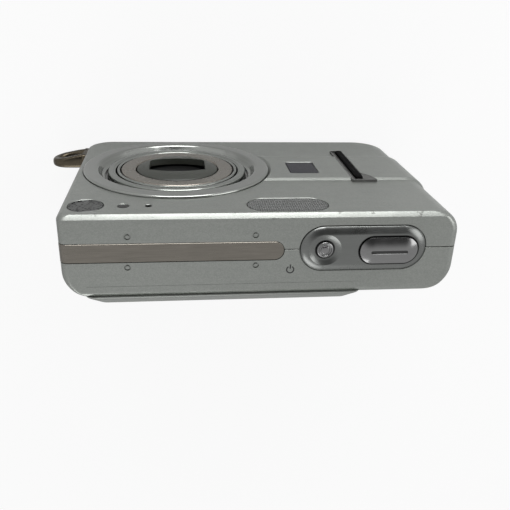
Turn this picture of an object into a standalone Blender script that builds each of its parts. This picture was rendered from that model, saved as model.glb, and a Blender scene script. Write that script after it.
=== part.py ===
"""Compact digital camera, modelled as separate pieces that fit together.

Frame: +Z up, the camera stands on its base, the lens faces -Y and lies on the +X side, the grip is on -X.
The origin is the middle of the base. Sizes below are in millimetres and are turned into metres by MM.
"""
import math

import bmesh
import bpy
from mathutils import Vector

MM = 0.001
LARGE_STEPS = 36            # facets round the lens parts
MEDIUM_STEPS = 24
SMALL_STEPS = 16

# --- Body ---------------------------------------------------------------------------------------------
BODY_W = 88.1               # along X
BODY_H = 60.3               # along Z
BODY_T = 19.7               # along Y, without the lens ring and the screen housing
WALL = 1.2                  # thickness of both covers
GAP = 0.3                   # between pieces that touch on the real camera
SEAM_Y = -1.45              # where the two covers meet
CORNER_FRONT_GRIP = 5.25    # upright corners, seen from above
CORNER_FRONT_LENS = 1.4
CORNER_REAR_GRIP = 6.5
CORNER_REAR_LENS = 6.3
EDGE_FRONT = 0.96           # long edges of the top and base
EDGE_REAR = 1.7
BASE_CORNER_R = 5.5         # corners seen from the front
TOP_CORNER_R = 1.8

FRONT = -BODY_T / 2
REAR = BODY_T / 2
LEFT = -BODY_W / 2
RIGHT = BODY_W / 2

# --- Raised band across the front, on the grip side of the lens ----------------------------------------
BAND_RAISE = 0.55
BAND_Z = (18.4, 36.9)
BAND_SLOPE = 0.8

# --- Lens ----------------------------------------------------------------------------------------------
LENS_TUBE_R = 14.5          # bore of the inner barrel
INNER_BARREL_WALL = 0.8
OUTER_BARREL_WALL = 1.9
RING_CLEARANCE = 0.75       # dark gap between the outer barrel and the bezel ring
RING_WIDTH = 5.3
RING_SEAT_WIDTH = 2.95      # wall of the spigot that drops into the front cover
INNER_BARREL_R = (LENS_TUBE_R, LENS_TUBE_R + INNER_BARREL_WALL)
OUTER_BARREL_R = (INNER_BARREL_R[1] + GAP, INNER_BARREL_R[1] + GAP + OUTER_BARREL_WALL)
RING_BORE_R = OUTER_BARREL_R[1] + RING_CLEARANCE
RING_SEAT_R = RING_BORE_R + RING_SEAT_WIDTH
RING_R = RING_BORE_R + RING_WIDTH
LENS_X = RIGHT - 1.63 - RING_R
LENS_Z = 26.66
RING_RAISE = 0.65
RING_SEAT_DEPTH = 0.7       # shoulder cut into the front cover
CAM_RING_WALL = 1.0
LENS_BASE_WALL = 1.0
NAME_RING_T = 0.8
WINDOW_RING_R = 10.25
WINDOW_RING_RAISE = 0.93
WINDOW_HALF_W = 7.04
WINDOW_HALF_H = 4.85
WINDOW_SIDE_HALF_H = 3.0
BLADE_T = 0.5
BLADE_TRAVEL = 5.1
FRONT_GLASS_R = 6.9
REAR_GLASS_R = 4.6

# --- Depth of the parts behind the lens, stacked inwards from the rear wall ----------------------------
KEY_FLANGE_T = 0.7
KEY_TRAVEL = 0.5
KEY_BOARD_T = 0.5
CHASSIS_T = 0.5
BOARD_T = 0.8
LENS_BASE_PLATE = 0.8
KEY_BACK = REAR - WALL - GAP - KEY_FLANGE_T
KEY_BOARD_Y = KEY_BACK - KEY_TRAVEL - GAP - KEY_BOARD_T
CHASSIS_Y = KEY_BOARD_Y - GAP - CHASSIS_T
BOARD_Y = CHASSIS_Y - GAP - BOARD_T
LENS_BASE_BACK = BOARD_Y - GAP

# --- Screen --------------------------------------------------------------------------------------------
SCREEN_RAISE = 1.9
SCREEN_X = (LEFT + 22.98, RIGHT - 6.4)     # flat top of the raised housing
SCREEN_Z = (5.2, BODY_H - 1.9)
SCREEN_SLOPE = 2.0
WINDOW_MARGIN = (3.4, 4.6)                  # from the housing's edge to the screen window, X and Z
SCREEN_WINDOW_T = 0.8

# --- Battery and card ----------------------------------------------------------------------------------
BATTERY_X = (LEFT + 6.55, LEFT + 37.55)
BATTERY_Y = (-7.2, -1.8)
BATTERY_Z = (1.5, 42.0)
BATTERY_BOX_WALL = 0.5
CARD_SIZE = (24.0, 2.0, 32.0)
CARD_X = LEFT + 20.0
CARD_Z = 2.6
DOOR_X = (LEFT + 5.85, LEFT + 38.85)
DOOR_Y = (-7.0, 2.6)
DOOR_T = WALL
HINGE_AXIS = (3.6, 1.0)                # y, z of the hinge
KNUCKLE_R = 1.0
PIN_R = 0.45
PIN_BORE_R = 0.6
MIDDLE_KNUCKLE_X = (LEFT + 20.0, LEFT + 24.5)
MIDDLE_KNUCKLE_R = 0.85     # smaller than the door's knuckles, so the door's edge swings past it
LATCH_SIZE = (7.0, 2.5, 0.45)
LATCH_TRAVEL = 1.5

# --- Top controls --------------------------------------------------------------------------------------
PANEL_X = LEFT + 21.85
PANEL_Y = -1.5
PANEL_SIZE = (28.6, 10.6)
PANEL_RAISE = 0.95
PANEL_SLOPE = 1.6
PANEL_SEAT = 0.5
POWER_X = LEFT + 30.7
POWER_Y = -1.5
POWER_R = 1.95
SHUTTER_X = LEFT + 16.3
SHUTTER_Y = -1.3
SHUTTER_SIZE = (13.2, 6.3)
SHUTTER_RAISE = 0.9
SHUTTER_TRAVEL = 0.7
FLANGE = 0.6

# --- Trim band along the top and down the lens side ----------------------------------------------------
TRIM_Y = (-3.35, 0.95)
TRIM_END_X = -4.3
TRIM_FOOT_Z = 15.0
TRIM_T = 0.5

# --- Front details -------------------------------------------------------------------------------------
SPEAKER_X = RIGHT - 5.55
SPEAKER_Z = BODY_H - 6.2
SPEAKER_R = 3.95
LAMP_X = RIGHT - 13.55
MIC_X = RIGHT - 18.95
DETAIL_Z = BODY_H - 5.8
LAMP_R = 1.25
MIC_R = 0.8
FLASH_X = LEFT + 38.45
FLASH_Z = BODY_H - 5.8
FLASH_SIZE = (18.2, 8.1)
SENSOR_X = LEFT + 30.65
SENSOR_Z = 28.5
SENSOR_SIZE = (7.2, 9.4)
GRIP_BAR_X = (LEFT + 16.3, LEFT + 18.1)
GRIP_BAR_Z = (12.6, 36.4)
GRIP_TRIM_W = 1.3
GRIP_END_W = 3.0            # how far the recess widens past the bar at its upper end
GRIP_RECESS = 0.9
GRIP_RAISE = 0.2

# --- Rear controls -------------------------------------------------------------------------------------
KEY_X = LEFT + 12.2
KEY_RAISE = 0.5
ROCKER_Z = BODY_H - 8.8
ROCKER_SIZE = (12.0, 4.8)
SMALL_KEY_R = 2.3
KEY_PITCH = 8.2
UPPER_KEYS_Z = BODY_H - 17.0
PAD_Z = 28.5
PAD_R = (3.4, 7.8)
SET_R = 3.0
LOWER_KEYS_Z = 13.5

# --- Base and sides ------------------------------------------------------------------------------------
BUSH_X = LEFT + 48.1
BUSH_Y = 3.4
BUSH_R = (3.0, 4.2)
BUSH_H = 5.5
DOCK_X = (RIGHT - 24.0, RIGHT - 10.0)
DOCK_Y = (1.2, 5.2)
DOCK_H = 4.3
LOOP_Y = (-8.6, -4.6)
LOOP_Z = (2.3, 10.4)
LOOP_REACH = 9.9
LOOP_TAPER = 2.4            # how much thinner the loop is at its tip
LOOP_BAR = 2.3
SCREW_HEAD_R = 1.4
SCREW_HEAD_T = 0.55
SCREW_RECESS = 0.75
SCREW_LENGTH = 2.6
SCREW_R = 0.7
SCREW_Y = 2.6
POST_R = 1.5
POSTS = ((LEFT + 3.55, 10.0), (LEFT + 3.55, BODY_H - 10.0), (RIGHT - 3.75, 10.0), (RIGHT - 3.75, BODY_H - 12.5))


# --- Materials -----------------------------------------------------------------------------------------
PAINTED = ("silver_paint", (0.235, 0.245, 0.225), 0.55, 0.38)
STEEL = ("stainless_steel", (0.30, 0.28, 0.25), 1.0, 0.28)
DARK_CHROME = ("dark_chrome", (0.22, 0.22, 0.22), 1.0, 0.22)
BARREL = ("barrel_metal", (0.33, 0.34, 0.32), 0.9, 0.33)
BLACK = ("black_plastic", (0.015, 0.015, 0.014), 0.0, 0.45)
RUBBER = ("rubber", (0.01, 0.01, 0.01), 0.0, 0.75)
GLASS = ("clear_glass", (0.75, 0.78, 0.80), 0.0, 0.05)
TINTED = ("tinted_glass", (0.03, 0.03, 0.045), 0.0, 0.12)
BOARD = ("circuit_board", (0.02, 0.10, 0.04), 0.0, 0.5)
GREY = ("grey_plastic", (0.12, 0.12, 0.12), 0.0, 0.5)
BRIGHT = ("nickel", (0.55, 0.53, 0.50), 1.0, 0.25)
LABEL = ("battery_wrap", (0.10, 0.11, 0.12), 0.0, 0.4)


def finish_material(obj, finish):
    """Give the object its own Principled material."""
    kind, colour, metallic, roughness = finish
    material = bpy.data.materials.new(f"{obj.name}_{kind}")
    material.use_nodes = True
    shader = material.node_tree.nodes["Principled BSDF"]
    shader.inputs["Base Color"].default_value = (*colour, 1.0)
    shader.inputs["Metallic"].default_value = metallic
    shader.inputs["Roughness"].default_value = roughness
    obj.data.materials.append(material)


def to_object(name, bm, finish, origin):
    """Close a bmesh given in millimetres into an object whose origin lies at the given point."""
    bmesh.ops.remove_doubles(bm, verts=bm.verts, dist=1e-5)
    bmesh.ops.recalc_face_normals(bm, faces=bm.faces)
    bmesh.ops.translate(bm, verts=bm.verts, vec=-Vector(origin))
    bmesh.ops.scale(bm, verts=bm.verts, vec=(MM, MM, MM))
    mesh = bpy.data.meshes.new(name)
    bm.to_mesh(mesh)
    bm.free()
    obj = bpy.data.objects.new(name, mesh)
    obj.location = Vector(origin) * MM
    bpy.context.collection.objects.link(obj)
    if finish is None:
        obj.hide_render = True
        obj.display_type = "WIRE"
    else:
        finish_material(obj, finish)
    return obj


def smooth(obj, angle=35.0):
    """Shade a round piece smooth, and keep its sharp edges."""
    obj.data.shade_smooth()
    obj.data.set_sharp_from_angle(angle=math.radians(angle))
    return obj


# --- Outlines in two dimensions ------------------------------------------------------------------------
def arc(centre, radius, start, end, steps):
    """Points on an arc, angles in degrees."""
    angles = [math.radians(start + (end - start) * i / steps) for i in range(steps + 1)]
    return [(centre[0] + radius * math.cos(a), centre[1] + radius * math.sin(a)) for a in angles]


def rectangle(u0, u1, v0, v1):
    return [(u0, v0), (u1, v0), (u1, v1), (u0, v1)]


def rounded(u0, u1, v0, v1, low_r, high_r=None, steps=4):
    """A rectangle whose two lower corners have one radius and whose two upper corners another."""
    high_r = low_r if high_r is None else high_r
    return (arc((u1 - low_r, v0 + low_r), low_r, -90, 0, steps)
            + arc((u1 - high_r, v1 - high_r), high_r, 0, 90, steps)
            + arc((u0 + high_r, v1 - high_r), high_r, 90, 180, steps)
            + arc((u0 + low_r, v0 + low_r), low_r, 180, 270, steps))


def obround(centre, size, grow=0.0, steps=5):
    """A slot shape: a rectangle with half-round ends, grown on all sides."""
    half_u = size[0] / 2 + grow
    half_v = size[1] / 2 + grow
    radius = min(half_u, half_v) - 1e-4
    return rounded(centre[0] - half_u, centre[0] + half_u, centre[1] - half_v, centre[1] + half_v, radius,
                   steps=steps)


def circle(centre, radius, steps=MEDIUM_STEPS):
    return arc(centre, radius, 0, 360 * (steps - 1) / steps, steps - 1)


# --- Solids --------------------------------------------------------------------------------------------
def place(axis, u, v, w):
    """A point from its two outline coordinates and its place along the axis."""
    return {"X": (w, u, v), "Y": (u, w, v), "Z": (u, v, w)}[axis]


def loft_rings(bm, rings):
    """Skin a row of rings that all have the same number of points, and cap both ends."""
    loops = [[bm.verts.new(point) for point in ring] for ring in rings]
    for low, high in zip(loops, loops[1:]):
        for i in range(len(low)):
            j = (i + 1) % len(low)
            bm.faces.new((low[i], low[j], high[j], high[i]))
    bm.faces.new(loops[0])
    bm.faces.new(loops[-1])


def loft(name, rings, finish=None, origin=(0, 0, 0)):
    bm = bmesh.new()
    loft_rings(bm, rings)
    return to_object(name, bm, finish, origin)


def prism(name, axis, outline, low, high, finish=None, origin=(0, 0, 0)):
    """An outline pushed along an axis."""
    rings = [[place(axis, u, v, w) for u, v in outline] for w in (low, high)]
    return loft(name, rings, finish, origin)


def tapered(name, axis, levels, finish=None, origin=(0, 0, 0)):
    """Outlines with equal point counts, each at its own place along the axis."""
    rings = [[place(axis, u, v, w) for u, v in outline] for outline, w in levels]
    return loft(name, rings, finish, origin)


def box(name, x, y, z, finish=None, origin=(0, 0, 0)):
    return prism(name, "Z", rectangle(x[0], x[1], y[0], y[1]), z[0], z[1], finish, origin)


def turned(name, axis, centre, profile, finish=None, origin=(0, 0, 0), steps=LARGE_STEPS):
    """Spin a closed profile of (radius, place along the axis) points. Radius 0 lies on the axis."""
    bm = bmesh.new()
    rows = []
    for radius, w in profile:
        if radius < 1e-6:
            rows.append([bm.verts.new(place(axis, centre[0], centre[1], w))])
        else:
            rows.append([bm.verts.new(place(axis, u, v, w)) for u, v in circle(centre, radius, steps)])
    for a, b in zip(rows, rows[1:] + rows[:1]):
        if len(a) == 1 and len(b) == 1:
            continue
        for i in range(steps):
            j = (i + 1) % steps
            quad = (a[i % len(a)], a[j % len(a)], b[j % len(b)], b[i % len(b)])
            bm.faces.new(list(dict.fromkeys(quad)))
    obj = to_object(name, bm, finish, origin)
    return smooth(obj) if finish else obj


def tube(name, axis, centre, radii, low, high, finish=None, origin=(0, 0, 0), steps=LARGE_STEPS):
    inner, outer = radii
    profile = [(inner, low), (outer, low), (outer, high), (inner, high)]
    return turned(name, axis, centre, profile, finish, origin, steps)


def disc(name, axis, centre, radius, low, high, finish=None, origin=(0, 0, 0), steps=MEDIUM_STEPS):
    return turned(name, axis, centre, [(0, low), (radius, low), (radius, high), (0, high)], finish, origin, steps)


def boolean(obj, other, operation):
    modifier = obj.modifiers.new(other.name, "BOOLEAN")
    modifier.operation = operation
    modifier.solver = "EXACT"
    modifier.object = other
    other.hide_render = True
    other.display_type = "WIRE"
    return obj


def cut(obj, *cutters):
    for cutter in cutters:
        boolean(obj, cutter, "DIFFERENCE")
    return obj


def add(obj, *pieces):
    for piece in pieces:
        boolean(obj, piece, "UNION")
    return obj


# --- Body shape ----------------------------------------------------------------------------------------
def corner_inset(depth, radius):
    """How far a rounded corner pulls in at a depth behind its face."""
    if radius <= 0 or depth >= radius:
        return 0.0
    reach = radius - max(depth, 0.0)
    return radius - math.sqrt(max(radius * radius - reach * reach, 0.0))


def body_section(y, inset=0.0):
    """The outline of the body in X and Z at one depth, pulled in by the wall where a cavity is wanted."""
    ahead = y - FRONT - inset
    behind = REAR - inset - y
    left = max(corner_inset(ahead, CORNER_FRONT_GRIP - inset), corner_inset(behind, CORNER_REAR_GRIP - inset))
    right = max(corner_inset(ahead, CORNER_FRONT_LENS - inset), corner_inset(behind, CORNER_REAR_LENS - inset))
    edge = max(corner_inset(ahead, EDGE_FRONT - inset), corner_inset(behind, EDGE_REAR - inset))
    return rounded(LEFT + inset + left, RIGHT - inset - right, inset + edge, BODY_H - inset - edge,
                   BASE_CORNER_R - inset, TOP_CORNER_R - inset, steps=4)


def arc_depths(radius, steps):
    """Depths behind a face that step evenly round a corner of this radius."""
    return [radius * (1 - math.cos(math.radians(90 * i / steps))) for i in range(steps + 1)]


def body_rings(y0, y1, inset=0.0):
    """Rings of the body between two depths, close together where its corners turn."""
    front_face = FRONT + inset
    rear_face = REAR - inset
    depths = {y0, y1}
    for radius, steps in ((EDGE_FRONT, 2), (CORNER_FRONT_GRIP, 4)):
        if radius > inset:
            depths |= {front_face + d for d in arc_depths(radius - inset, steps)}
    for radius, steps in ((EDGE_REAR, 2), (CORNER_REAR_GRIP, 4)):
        if radius > inset:
            depths |= {rear_face - d for d in arc_depths(radius - inset, steps)}
    kept = [d for d in sorted(depths) if y0 - 1e-6 <= d <= y1 + 1e-6]
    spaced = [kept[0]]
    for depth in kept[1:]:
        if depth - spaced[-1] > 0.2 or depth == y1:
            spaced.append(depth)
    return [[(x, y, z) for x, z in body_section(min(max(y, front_face), rear_face), inset)] for y in spaced]


# --- Covers --------------------------------------------------------------------------------------------
FRONT_INNER = FRONT + WALL
REAR_INNER = REAR - WALL
LENS = (LENS_X, LENS_Z)
RING_BACK = FRONT_INNER + 0.45
TOP_INNER = BODY_H - WALL
SHAFT_GAP = 0.35            # round a button in its hole


def ring_cutters():
    """The shoulder and the hole in the front cover that the bezel ring drops into."""
    seat = disc("cut_ring_seat", "Y", LENS, RING_R + 0.15, FRONT - 3, FRONT + RING_SEAT_DEPTH, steps=LARGE_STEPS)
    hole = disc("cut_ring_hole", "Y", LENS, RING_SEAT_R + GAP, FRONT - 3, FRONT_INNER + 1, steps=LARGE_STEPS)
    return seat, hole


def raised_band():
    """The raised band on the grip side. Its upper and lower edges slope, and it wraps round the grip edge."""
    def outline(raise_by):
        radius = CORNER_FRONT_GRIP + raise_by
        centre = (LEFT + CORNER_FRONT_GRIP, FRONT + CORNER_FRONT_GRIP)
        turn = arc(centre, radius, 180, 270, 8)
        return turn + [(LENS_X, FRONT - raise_by), (LENS_X, FRONT + 0.6), (LEFT + 6, FRONT + 0.6),
                       (LEFT + 0.6, FRONT + CORNER_FRONT_GRIP)]
    low, high = BAND_Z
    levels = [(outline(-0.02), low - 2.6), (outline(BAND_RAISE), low), (outline(BAND_RAISE), high),
              (outline(-0.02), high + BAND_SLOPE)]
    return tapered("band_shape", "Z", levels)


def trim_shape(name, grow, top, depth, finish=None):
    """A strip along the top, over the corner and down the lens side, with a half-round end."""
    y0, y1 = TRIM_Y[0] - grow, TRIM_Y[1] + grow
    corner = TOP_CORNER_R
    outer = arc((RIGHT - corner, BODY_H - corner), corner + top, 90, 0, 6)
    inner = arc((RIGHT - corner, BODY_H - corner), corner - depth, 0, 90, 6)
    foot = TRIM_FOOT_Z - grow
    strip = ([(TRIM_END_X + 2, BODY_H + top)] + outer + [(RIGHT + top, foot), (RIGHT - depth, foot)] + inner
             + [(TRIM_END_X + 2, BODY_H - depth)])
    body = prism(name, "Y", strip, y0, y1, finish)
    end = prism(name + "_end", "Z", obround((TRIM_END_X + 4.3 - grow, (y0 + y1) / 2), (8.6, y1 - y0)),
                BODY_H - depth, BODY_H + top)
    return add(body, end)


def panel_seat_cutter():
    outline = obround((PANEL_X, PANEL_Y), PANEL_SIZE, 0.15)
    return prism("cut_panel_seat", "Z", outline, BODY_H - PANEL_SEAT, BODY_H + 3)


def button_shaft_cutters():
    power = disc("cut_power_shaft", "Z", (POWER_X, POWER_Y), POWER_R + SHAFT_GAP, TOP_INNER - 1, BODY_H + 3)
    shutter = prism("cut_shutter_shaft", "Z", obround((SHUTTER_X, SHUTTER_Y), SHUTTER_SIZE, SHAFT_GAP),
                    TOP_INNER - 1, BODY_H + 3)
    return power, shutter


def door_cutter():
    """The battery opening in the base, with notches for the door's two knuckles."""
    main = box("cut_door", (DOOR_X[0] - GAP, DOOR_X[1] + GAP), (DOOR_Y[0] - GAP, DOOR_Y[1] + GAP), (-2, WALL + 1))
    axis_y = HINGE_AXIS[0]
    for side, (x0, x1) in (("low", (DOOR_X[0] - GAP, MIDDLE_KNUCKLE_X[0])),
                           ("high", (MIDDLE_KNUCKLE_X[1], DOOR_X[1] + GAP))):
        add(main, box(f"cut_knuckle_{side}", (x0, x1), (DOOR_Y[1], axis_y + KNUCKLE_R + GAP), (-2, WALL + 1)))
    return add(main, box("cut_knuckle_middle", MIDDLE_KNUCKLE_X, (DOOR_Y[1], axis_y), (-2, WALL + 1)))


def screw_places():
    """Each case screw: its name, a point on the outside of the case and the direction that its head faces."""
    return (("case_screw_lens_side", (RIGHT, SCREW_Y, BODY_H - 16.0), "X", 1),
            ("case_screw_grip_side", (LEFT, SCREW_Y, BODY_H - 16.0), "X", -1))


def screw_profile(point, axis, facing, grow, out):
    """The head and shank of a screw, from outside the case inwards."""
    place_on_axis = point["XYZ".index(axis)]
    centre = tuple(v for i, v in enumerate(point) if "XYZ"[i] != axis)
    head_top = place_on_axis + facing * (out if grow else -0.1)
    head_low = place_on_axis - facing * (SCREW_RECESS if grow else SCREW_HEAD_T - 0.1)
    tip = place_on_axis - facing * (WALL + 1 if grow else SCREW_LENGTH)
    head_r = SCREW_HEAD_R + (0.2 if grow else 0.0)
    shank_r = SCREW_R + (GAP if grow else 0.0)
    profile = [(0, head_top), (head_r, head_top), (head_r, head_low), (shank_r, head_low), (shank_r, tip), (0, tip)]
    return centre, profile


def screw_cutter(name, point, axis, facing):
    centre, profile = screw_profile(point, axis, facing, True, 2.0)
    return turned(f"cut_{name}", axis, centre, profile, steps=SMALL_STEPS)


def flat_screws():
    for name, point, axis, facing in screw_places():
        centre, profile = screw_profile(point, axis, facing, False, 0.0)
        turned(name, axis, centre, profile, BRIGHT, origin=point, steps=SMALL_STEPS)


def front_cover():
    shell = loft("front_cover", body_rings(FRONT, SEAM_Y - GAP / 2), PAINTED)
    add(shell, raised_band())
    cavity = loft("cut_front_cavity", body_rings(FRONT_INNER, SEAM_Y + 2, WALL))
    cut(shell, cavity)
    pad_x = (GRIP_BAR_X[0] - GRIP_END_W - 1.0, GRIP_BAR_X[1] + GRIP_TRIM_W + 1.0)
    pad = box("grip_pad", pad_x, (FRONT + 0.6, FRONT_INNER + 0.8), (GRIP_BAR_Z[0] - 1.5, GRIP_BAR_Z[1] + 4.0))
    add(shell, pad)
    for number, (x, z) in enumerate(POSTS):
        add(shell, disc(f"front_post_{number}", "Y", (x, z), POST_R, FRONT_INNER - 0.4, CHASSIS_Y - GAP, steps=SMALL_STEPS))
    seat, hole = ring_cutters()
    cut(shell, seat, hole)
    cut(shell, trim_shape("cut_trim_front", 0.1, 0.6, TRIM_T + GAP), panel_seat_cutter(), *button_shaft_cutters())
    cut(shell, door_cutter())
    for name, x, z, radius in (("speaker", SPEAKER_X, SPEAKER_Z, SPEAKER_R + 0.15),
                               ("lamp", LAMP_X, DETAIL_Z, LAMP_R + 0.15),
                               ("mic", MIC_X, DETAIL_Z, MIC_R)):
        cut(shell, disc(f"cut_{name}", "Y", (x, z), radius, FRONT - 2, FRONT_INNER + 1, steps=MEDIUM_STEPS))
    flash = prism("cut_flash", "Y", obround((FLASH_X, FLASH_Z), FLASH_SIZE, 0.15), FRONT - 2, FRONT_INNER + 1)
    sensor = prism("cut_sensor", "Y", square_window(0.15), FRONT - 2, FRONT_INNER + 1)
    recess = box("cut_grip", (GRIP_BAR_X[0] - GAP, GRIP_BAR_X[1] + GRIP_TRIM_W + 2 * GAP),
                 (FRONT - 3, FRONT - BAND_RAISE + GRIP_RECESS), (GRIP_BAR_Z[0] - GAP, GRIP_BAR_Z[1] + 2.6))
    add(recess, box("cut_grip_end", (GRIP_BAR_X[0] - GRIP_END_W - GAP, GRIP_BAR_X[1]),
                    (FRONT - 3, FRONT - BAND_RAISE + GRIP_RECESS), (GRIP_BAR_Z[1], GRIP_BAR_Z[1] + 2.6)))
    cut(shell, flash, sensor, recess)
    plug = box("cut_loop", (RIGHT - 3, RIGHT + 2), (LOOP_Y[0] + 0.5 - GAP, LOOP_Y[1] - 0.5 + GAP),
               (LOOP_Z[0] + 2.9 - GAP, LOOP_Z[1] - 1.5 + GAP))
    return cut(shell, plug)


def square_window(grow):
    half_w = SENSOR_SIZE[0] / 2 + grow
    half_h = SENSOR_SIZE[1] / 2 + grow
    return rounded(SENSOR_X - half_w, SENSOR_X + half_w, SENSOR_Z - half_h, SENSOR_Z + half_h, 0.5, steps=3)


def screen_levels():
    """The raised housing round the screen, with sloping sides."""
    x0, x1 = SCREEN_X
    z0, z1 = SCREEN_Z
    def level(spread):
        return rounded(x0 - spread, x1 + spread, z0 - spread, z1 + spread, 3.0, steps=5)
    return [(level(SCREEN_SLOPE + 0.3), REAR - WALL / 2), (level(SCREEN_SLOPE), REAR),
            (level(0.0), REAR + SCREEN_RAISE)]


def screen_window(grow=0.0):
    x0, x1 = SCREEN_X
    z0, z1 = SCREEN_Z
    return rounded(x0 + WINDOW_MARGIN[0] - grow, x1 - WINDOW_MARGIN[0] + grow,
                   z0 + WINDOW_MARGIN[1] - grow, z1 - WINDOW_MARGIN[1] + grow, 1.2, steps=3)


def key_outlines(grow=0.0):
    """Every hole in the rear cover that a control stands in."""
    outlines = {"zoom_rocker": obround((KEY_X, ROCKER_Z), ROCKER_SIZE, grow)}
    for name, (x, z) in small_keys().items():
        outlines[name] = circle((x, z), SMALL_KEY_R + grow, SMALL_STEPS)
    outlines["four_way_pad"] = circle((KEY_X, PAD_Z), PAD_R[1] + grow, MEDIUM_STEPS)
    return outlines


def small_keys():
    half = KEY_PITCH / 2
    return {"record_button": (KEY_X - half, UPPER_KEYS_Z), "play_button": (KEY_X + half, UPPER_KEYS_Z),
            "menu_button": (KEY_X - half, LOWER_KEYS_Z), "display_button": (KEY_X + half, LOWER_KEYS_Z)}


def rear_cover():
    shell = loft("rear_cover", body_rings(SEAM_Y + GAP / 2, REAR), PAINTED)
    add(shell, tapered("screen_housing", "Y", screen_levels()))
    cut(shell, loft("cut_rear_cavity", body_rings(SEAM_Y - 2, REAR_INNER, WALL)))
    cut(shell, trim_shape("cut_trim_rear", 0.1, 0.6, TRIM_T + GAP), panel_seat_cutter(), *button_shaft_cutters())
    for number, (x, z) in enumerate(POSTS):
        add(shell, disc(f"rear_post_{number}", "Y", (x, z), POST_R, CHASSIS_Y + CHASSIS_T + GAP, REAR_INNER - 1.1,
                        steps=SMALL_STEPS))
    cut(shell, prism("cut_screen", "Y", screen_window(0.15), REAR_INNER - 1, REAR + 4))
    for name, outline in key_outlines(SHAFT_GAP).items():
        cut(shell, prism(f"cut_{name}", "Y", outline, REAR_INNER - 1, REAR + 2))
    cut(shell, door_cutter())
    axis_y, axis_z = HINGE_AXIS
    x0, x1 = MIDDLE_KNUCKLE_X
    web = box("knuckle_web", (x0 + 0.2, x1 - 0.2), (axis_y - 0.1, axis_y + KNUCKLE_R + 1.0), (0.2, axis_z + KNUCKLE_R))
    knuckle = disc("middle_knuckle", "X", HINGE_AXIS, MIDDLE_KNUCKLE_R, x0 + 0.1, x1 - 0.1, steps=SMALL_STEPS)
    add(shell, web, knuckle)
    cut(shell, disc("cut_pin", "X", HINGE_AXIS, PIN_BORE_R, DOOR_X[0] - GAP, DOOR_X[1] + GAP, steps=SMALL_STEPS))
    cut(shell, disc("cut_bush", "Z", (BUSH_X, BUSH_Y), BUSH_R[1] + GAP, -2, WALL + 1))
    cut(shell, box("cut_dock", (DOCK_X[0] - GAP, DOCK_X[1] + GAP), (DOCK_Y[0] - GAP, DOCK_Y[1] + GAP),
                   (-2, WALL + 1)))
    for name, point, axis, facing in screw_places():
        cut(shell, screw_cutter(name, point, axis, facing))
    return shell


# --- Lens ----------------------------------------------------------------------------------------------
def bezel_ring():
    crest = FRONT - RING_RAISE
    profile = [(RING_R, FRONT + RING_SEAT_DEPTH - GAP), (RING_R, FRONT - 0.1), (RING_R - 0.45, crest + 0.12),
               (RING_R - 1.1, crest), (RING_R - 2.65, crest - 0.08), (RING_R - 3.35, crest + 0.1),
               (RING_BORE_R + 0.1, FRONT + 0.4),
               (RING_BORE_R, FRONT + 0.6), (RING_BORE_R, RING_BACK), (RING_SEAT_R, RING_BACK),
               (RING_SEAT_R, FRONT + RING_SEAT_DEPTH - GAP)]
    turned("lens_bezel_ring", "Y", LENS, profile, BARREL, steps=LARGE_STEPS)


CAM_RING_R = (OUTER_BARREL_R[1] + GAP, OUTER_BARREL_R[1] + GAP + CAM_RING_WALL)
LENS_BASE_R = (CAM_RING_R[1] + GAP, CAM_RING_R[1] + GAP + LENS_BASE_WALL)
BASE_FRONT = RING_BACK + GAP
BASE_PLATE_Y = LENS_BASE_BACK - LENS_BASE_PLATE
BARREL_BACK = BASE_PLATE_Y - GAP
BARREL_FACE = FRONT
IMAGER_SIZE = (11.0, 9.0)
LENS_BOARD_SIZE = (26.0, 24.0)


def centred(centre, size, grow=0.0):
    """A rectangle about a centre, as its low and high u and its low and high v."""
    return ((centre[0] - size[0] / 2 - grow, centre[0] + size[0] / 2 + grow),
            (centre[1] - size[1] / 2 - grow, centre[1] + size[1] / 2 + grow))


def lens_mount():
    profile = [(0, BASE_PLATE_Y), (LENS_BASE_R[0], BASE_PLATE_Y), (LENS_BASE_R[0], BASE_FRONT),
               (LENS_BASE_R[1], BASE_FRONT), (LENS_BASE_R[1], LENS_BASE_BACK), (0, LENS_BASE_BACK)]
    base = turned("lens_base", "Y", LENS, profile, BLACK, steps=LARGE_STEPS)
    x, z = centred(LENS, IMAGER_SIZE, GAP)
    cut(base, box("cut_imager", x, (BASE_PLATE_Y - 1, LENS_BASE_BACK + 1), z))
    origin = (LENS_X, FRONT, LENS_Z)
    tube("lens_cam_ring", "Y", LENS, CAM_RING_R, BASE_FRONT, BARREL_BACK, GREY, origin, steps=LARGE_STEPS)
    x, z = centred(LENS, IMAGER_SIZE)
    box("image_sensor", x, (BASE_PLATE_Y - 0.4, LENS_BASE_BACK), z, TINTED)
    x, z = centred(LENS, LENS_BOARD_SIZE)
    box("sensor_board", x, (BOARD_Y, BOARD_Y + BOARD_T), z, BOARD)


def barrel_profile(radii, back):
    """A barrel with small chamfers round its front face."""
    inner, outer = radii
    return [(inner, back), (outer, back), (outer, BARREL_FACE + 0.2), (outer - 0.2, BARREL_FACE),
            (inner + 0.15, BARREL_FACE), (inner, BARREL_FACE + 0.15)]


NAME_RING_R = (WINDOW_RING_R + 0.25, INNER_BARREL_R[0] - GAP)
NAME_RING_BACK = FRONT + NAME_RING_T
BLADE_Y = (NAME_RING_BACK + GAP, NAME_RING_BACK + GAP + BLADE_T)
BLADE_PLATE_Y = (BLADE_Y[1] + GAP, BLADE_Y[1] + GAP + 0.6)
BLADE_HALF_W = WINDOW_HALF_W + 0.3
CELL_Y = (BLADE_PLATE_Y[1] + GAP, BLADE_PLATE_Y[1] + GAP + 4.0)
REAR_CELL_Y = (CELL_Y[1] + 1.2, CELL_Y[1] + 3.9)


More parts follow.
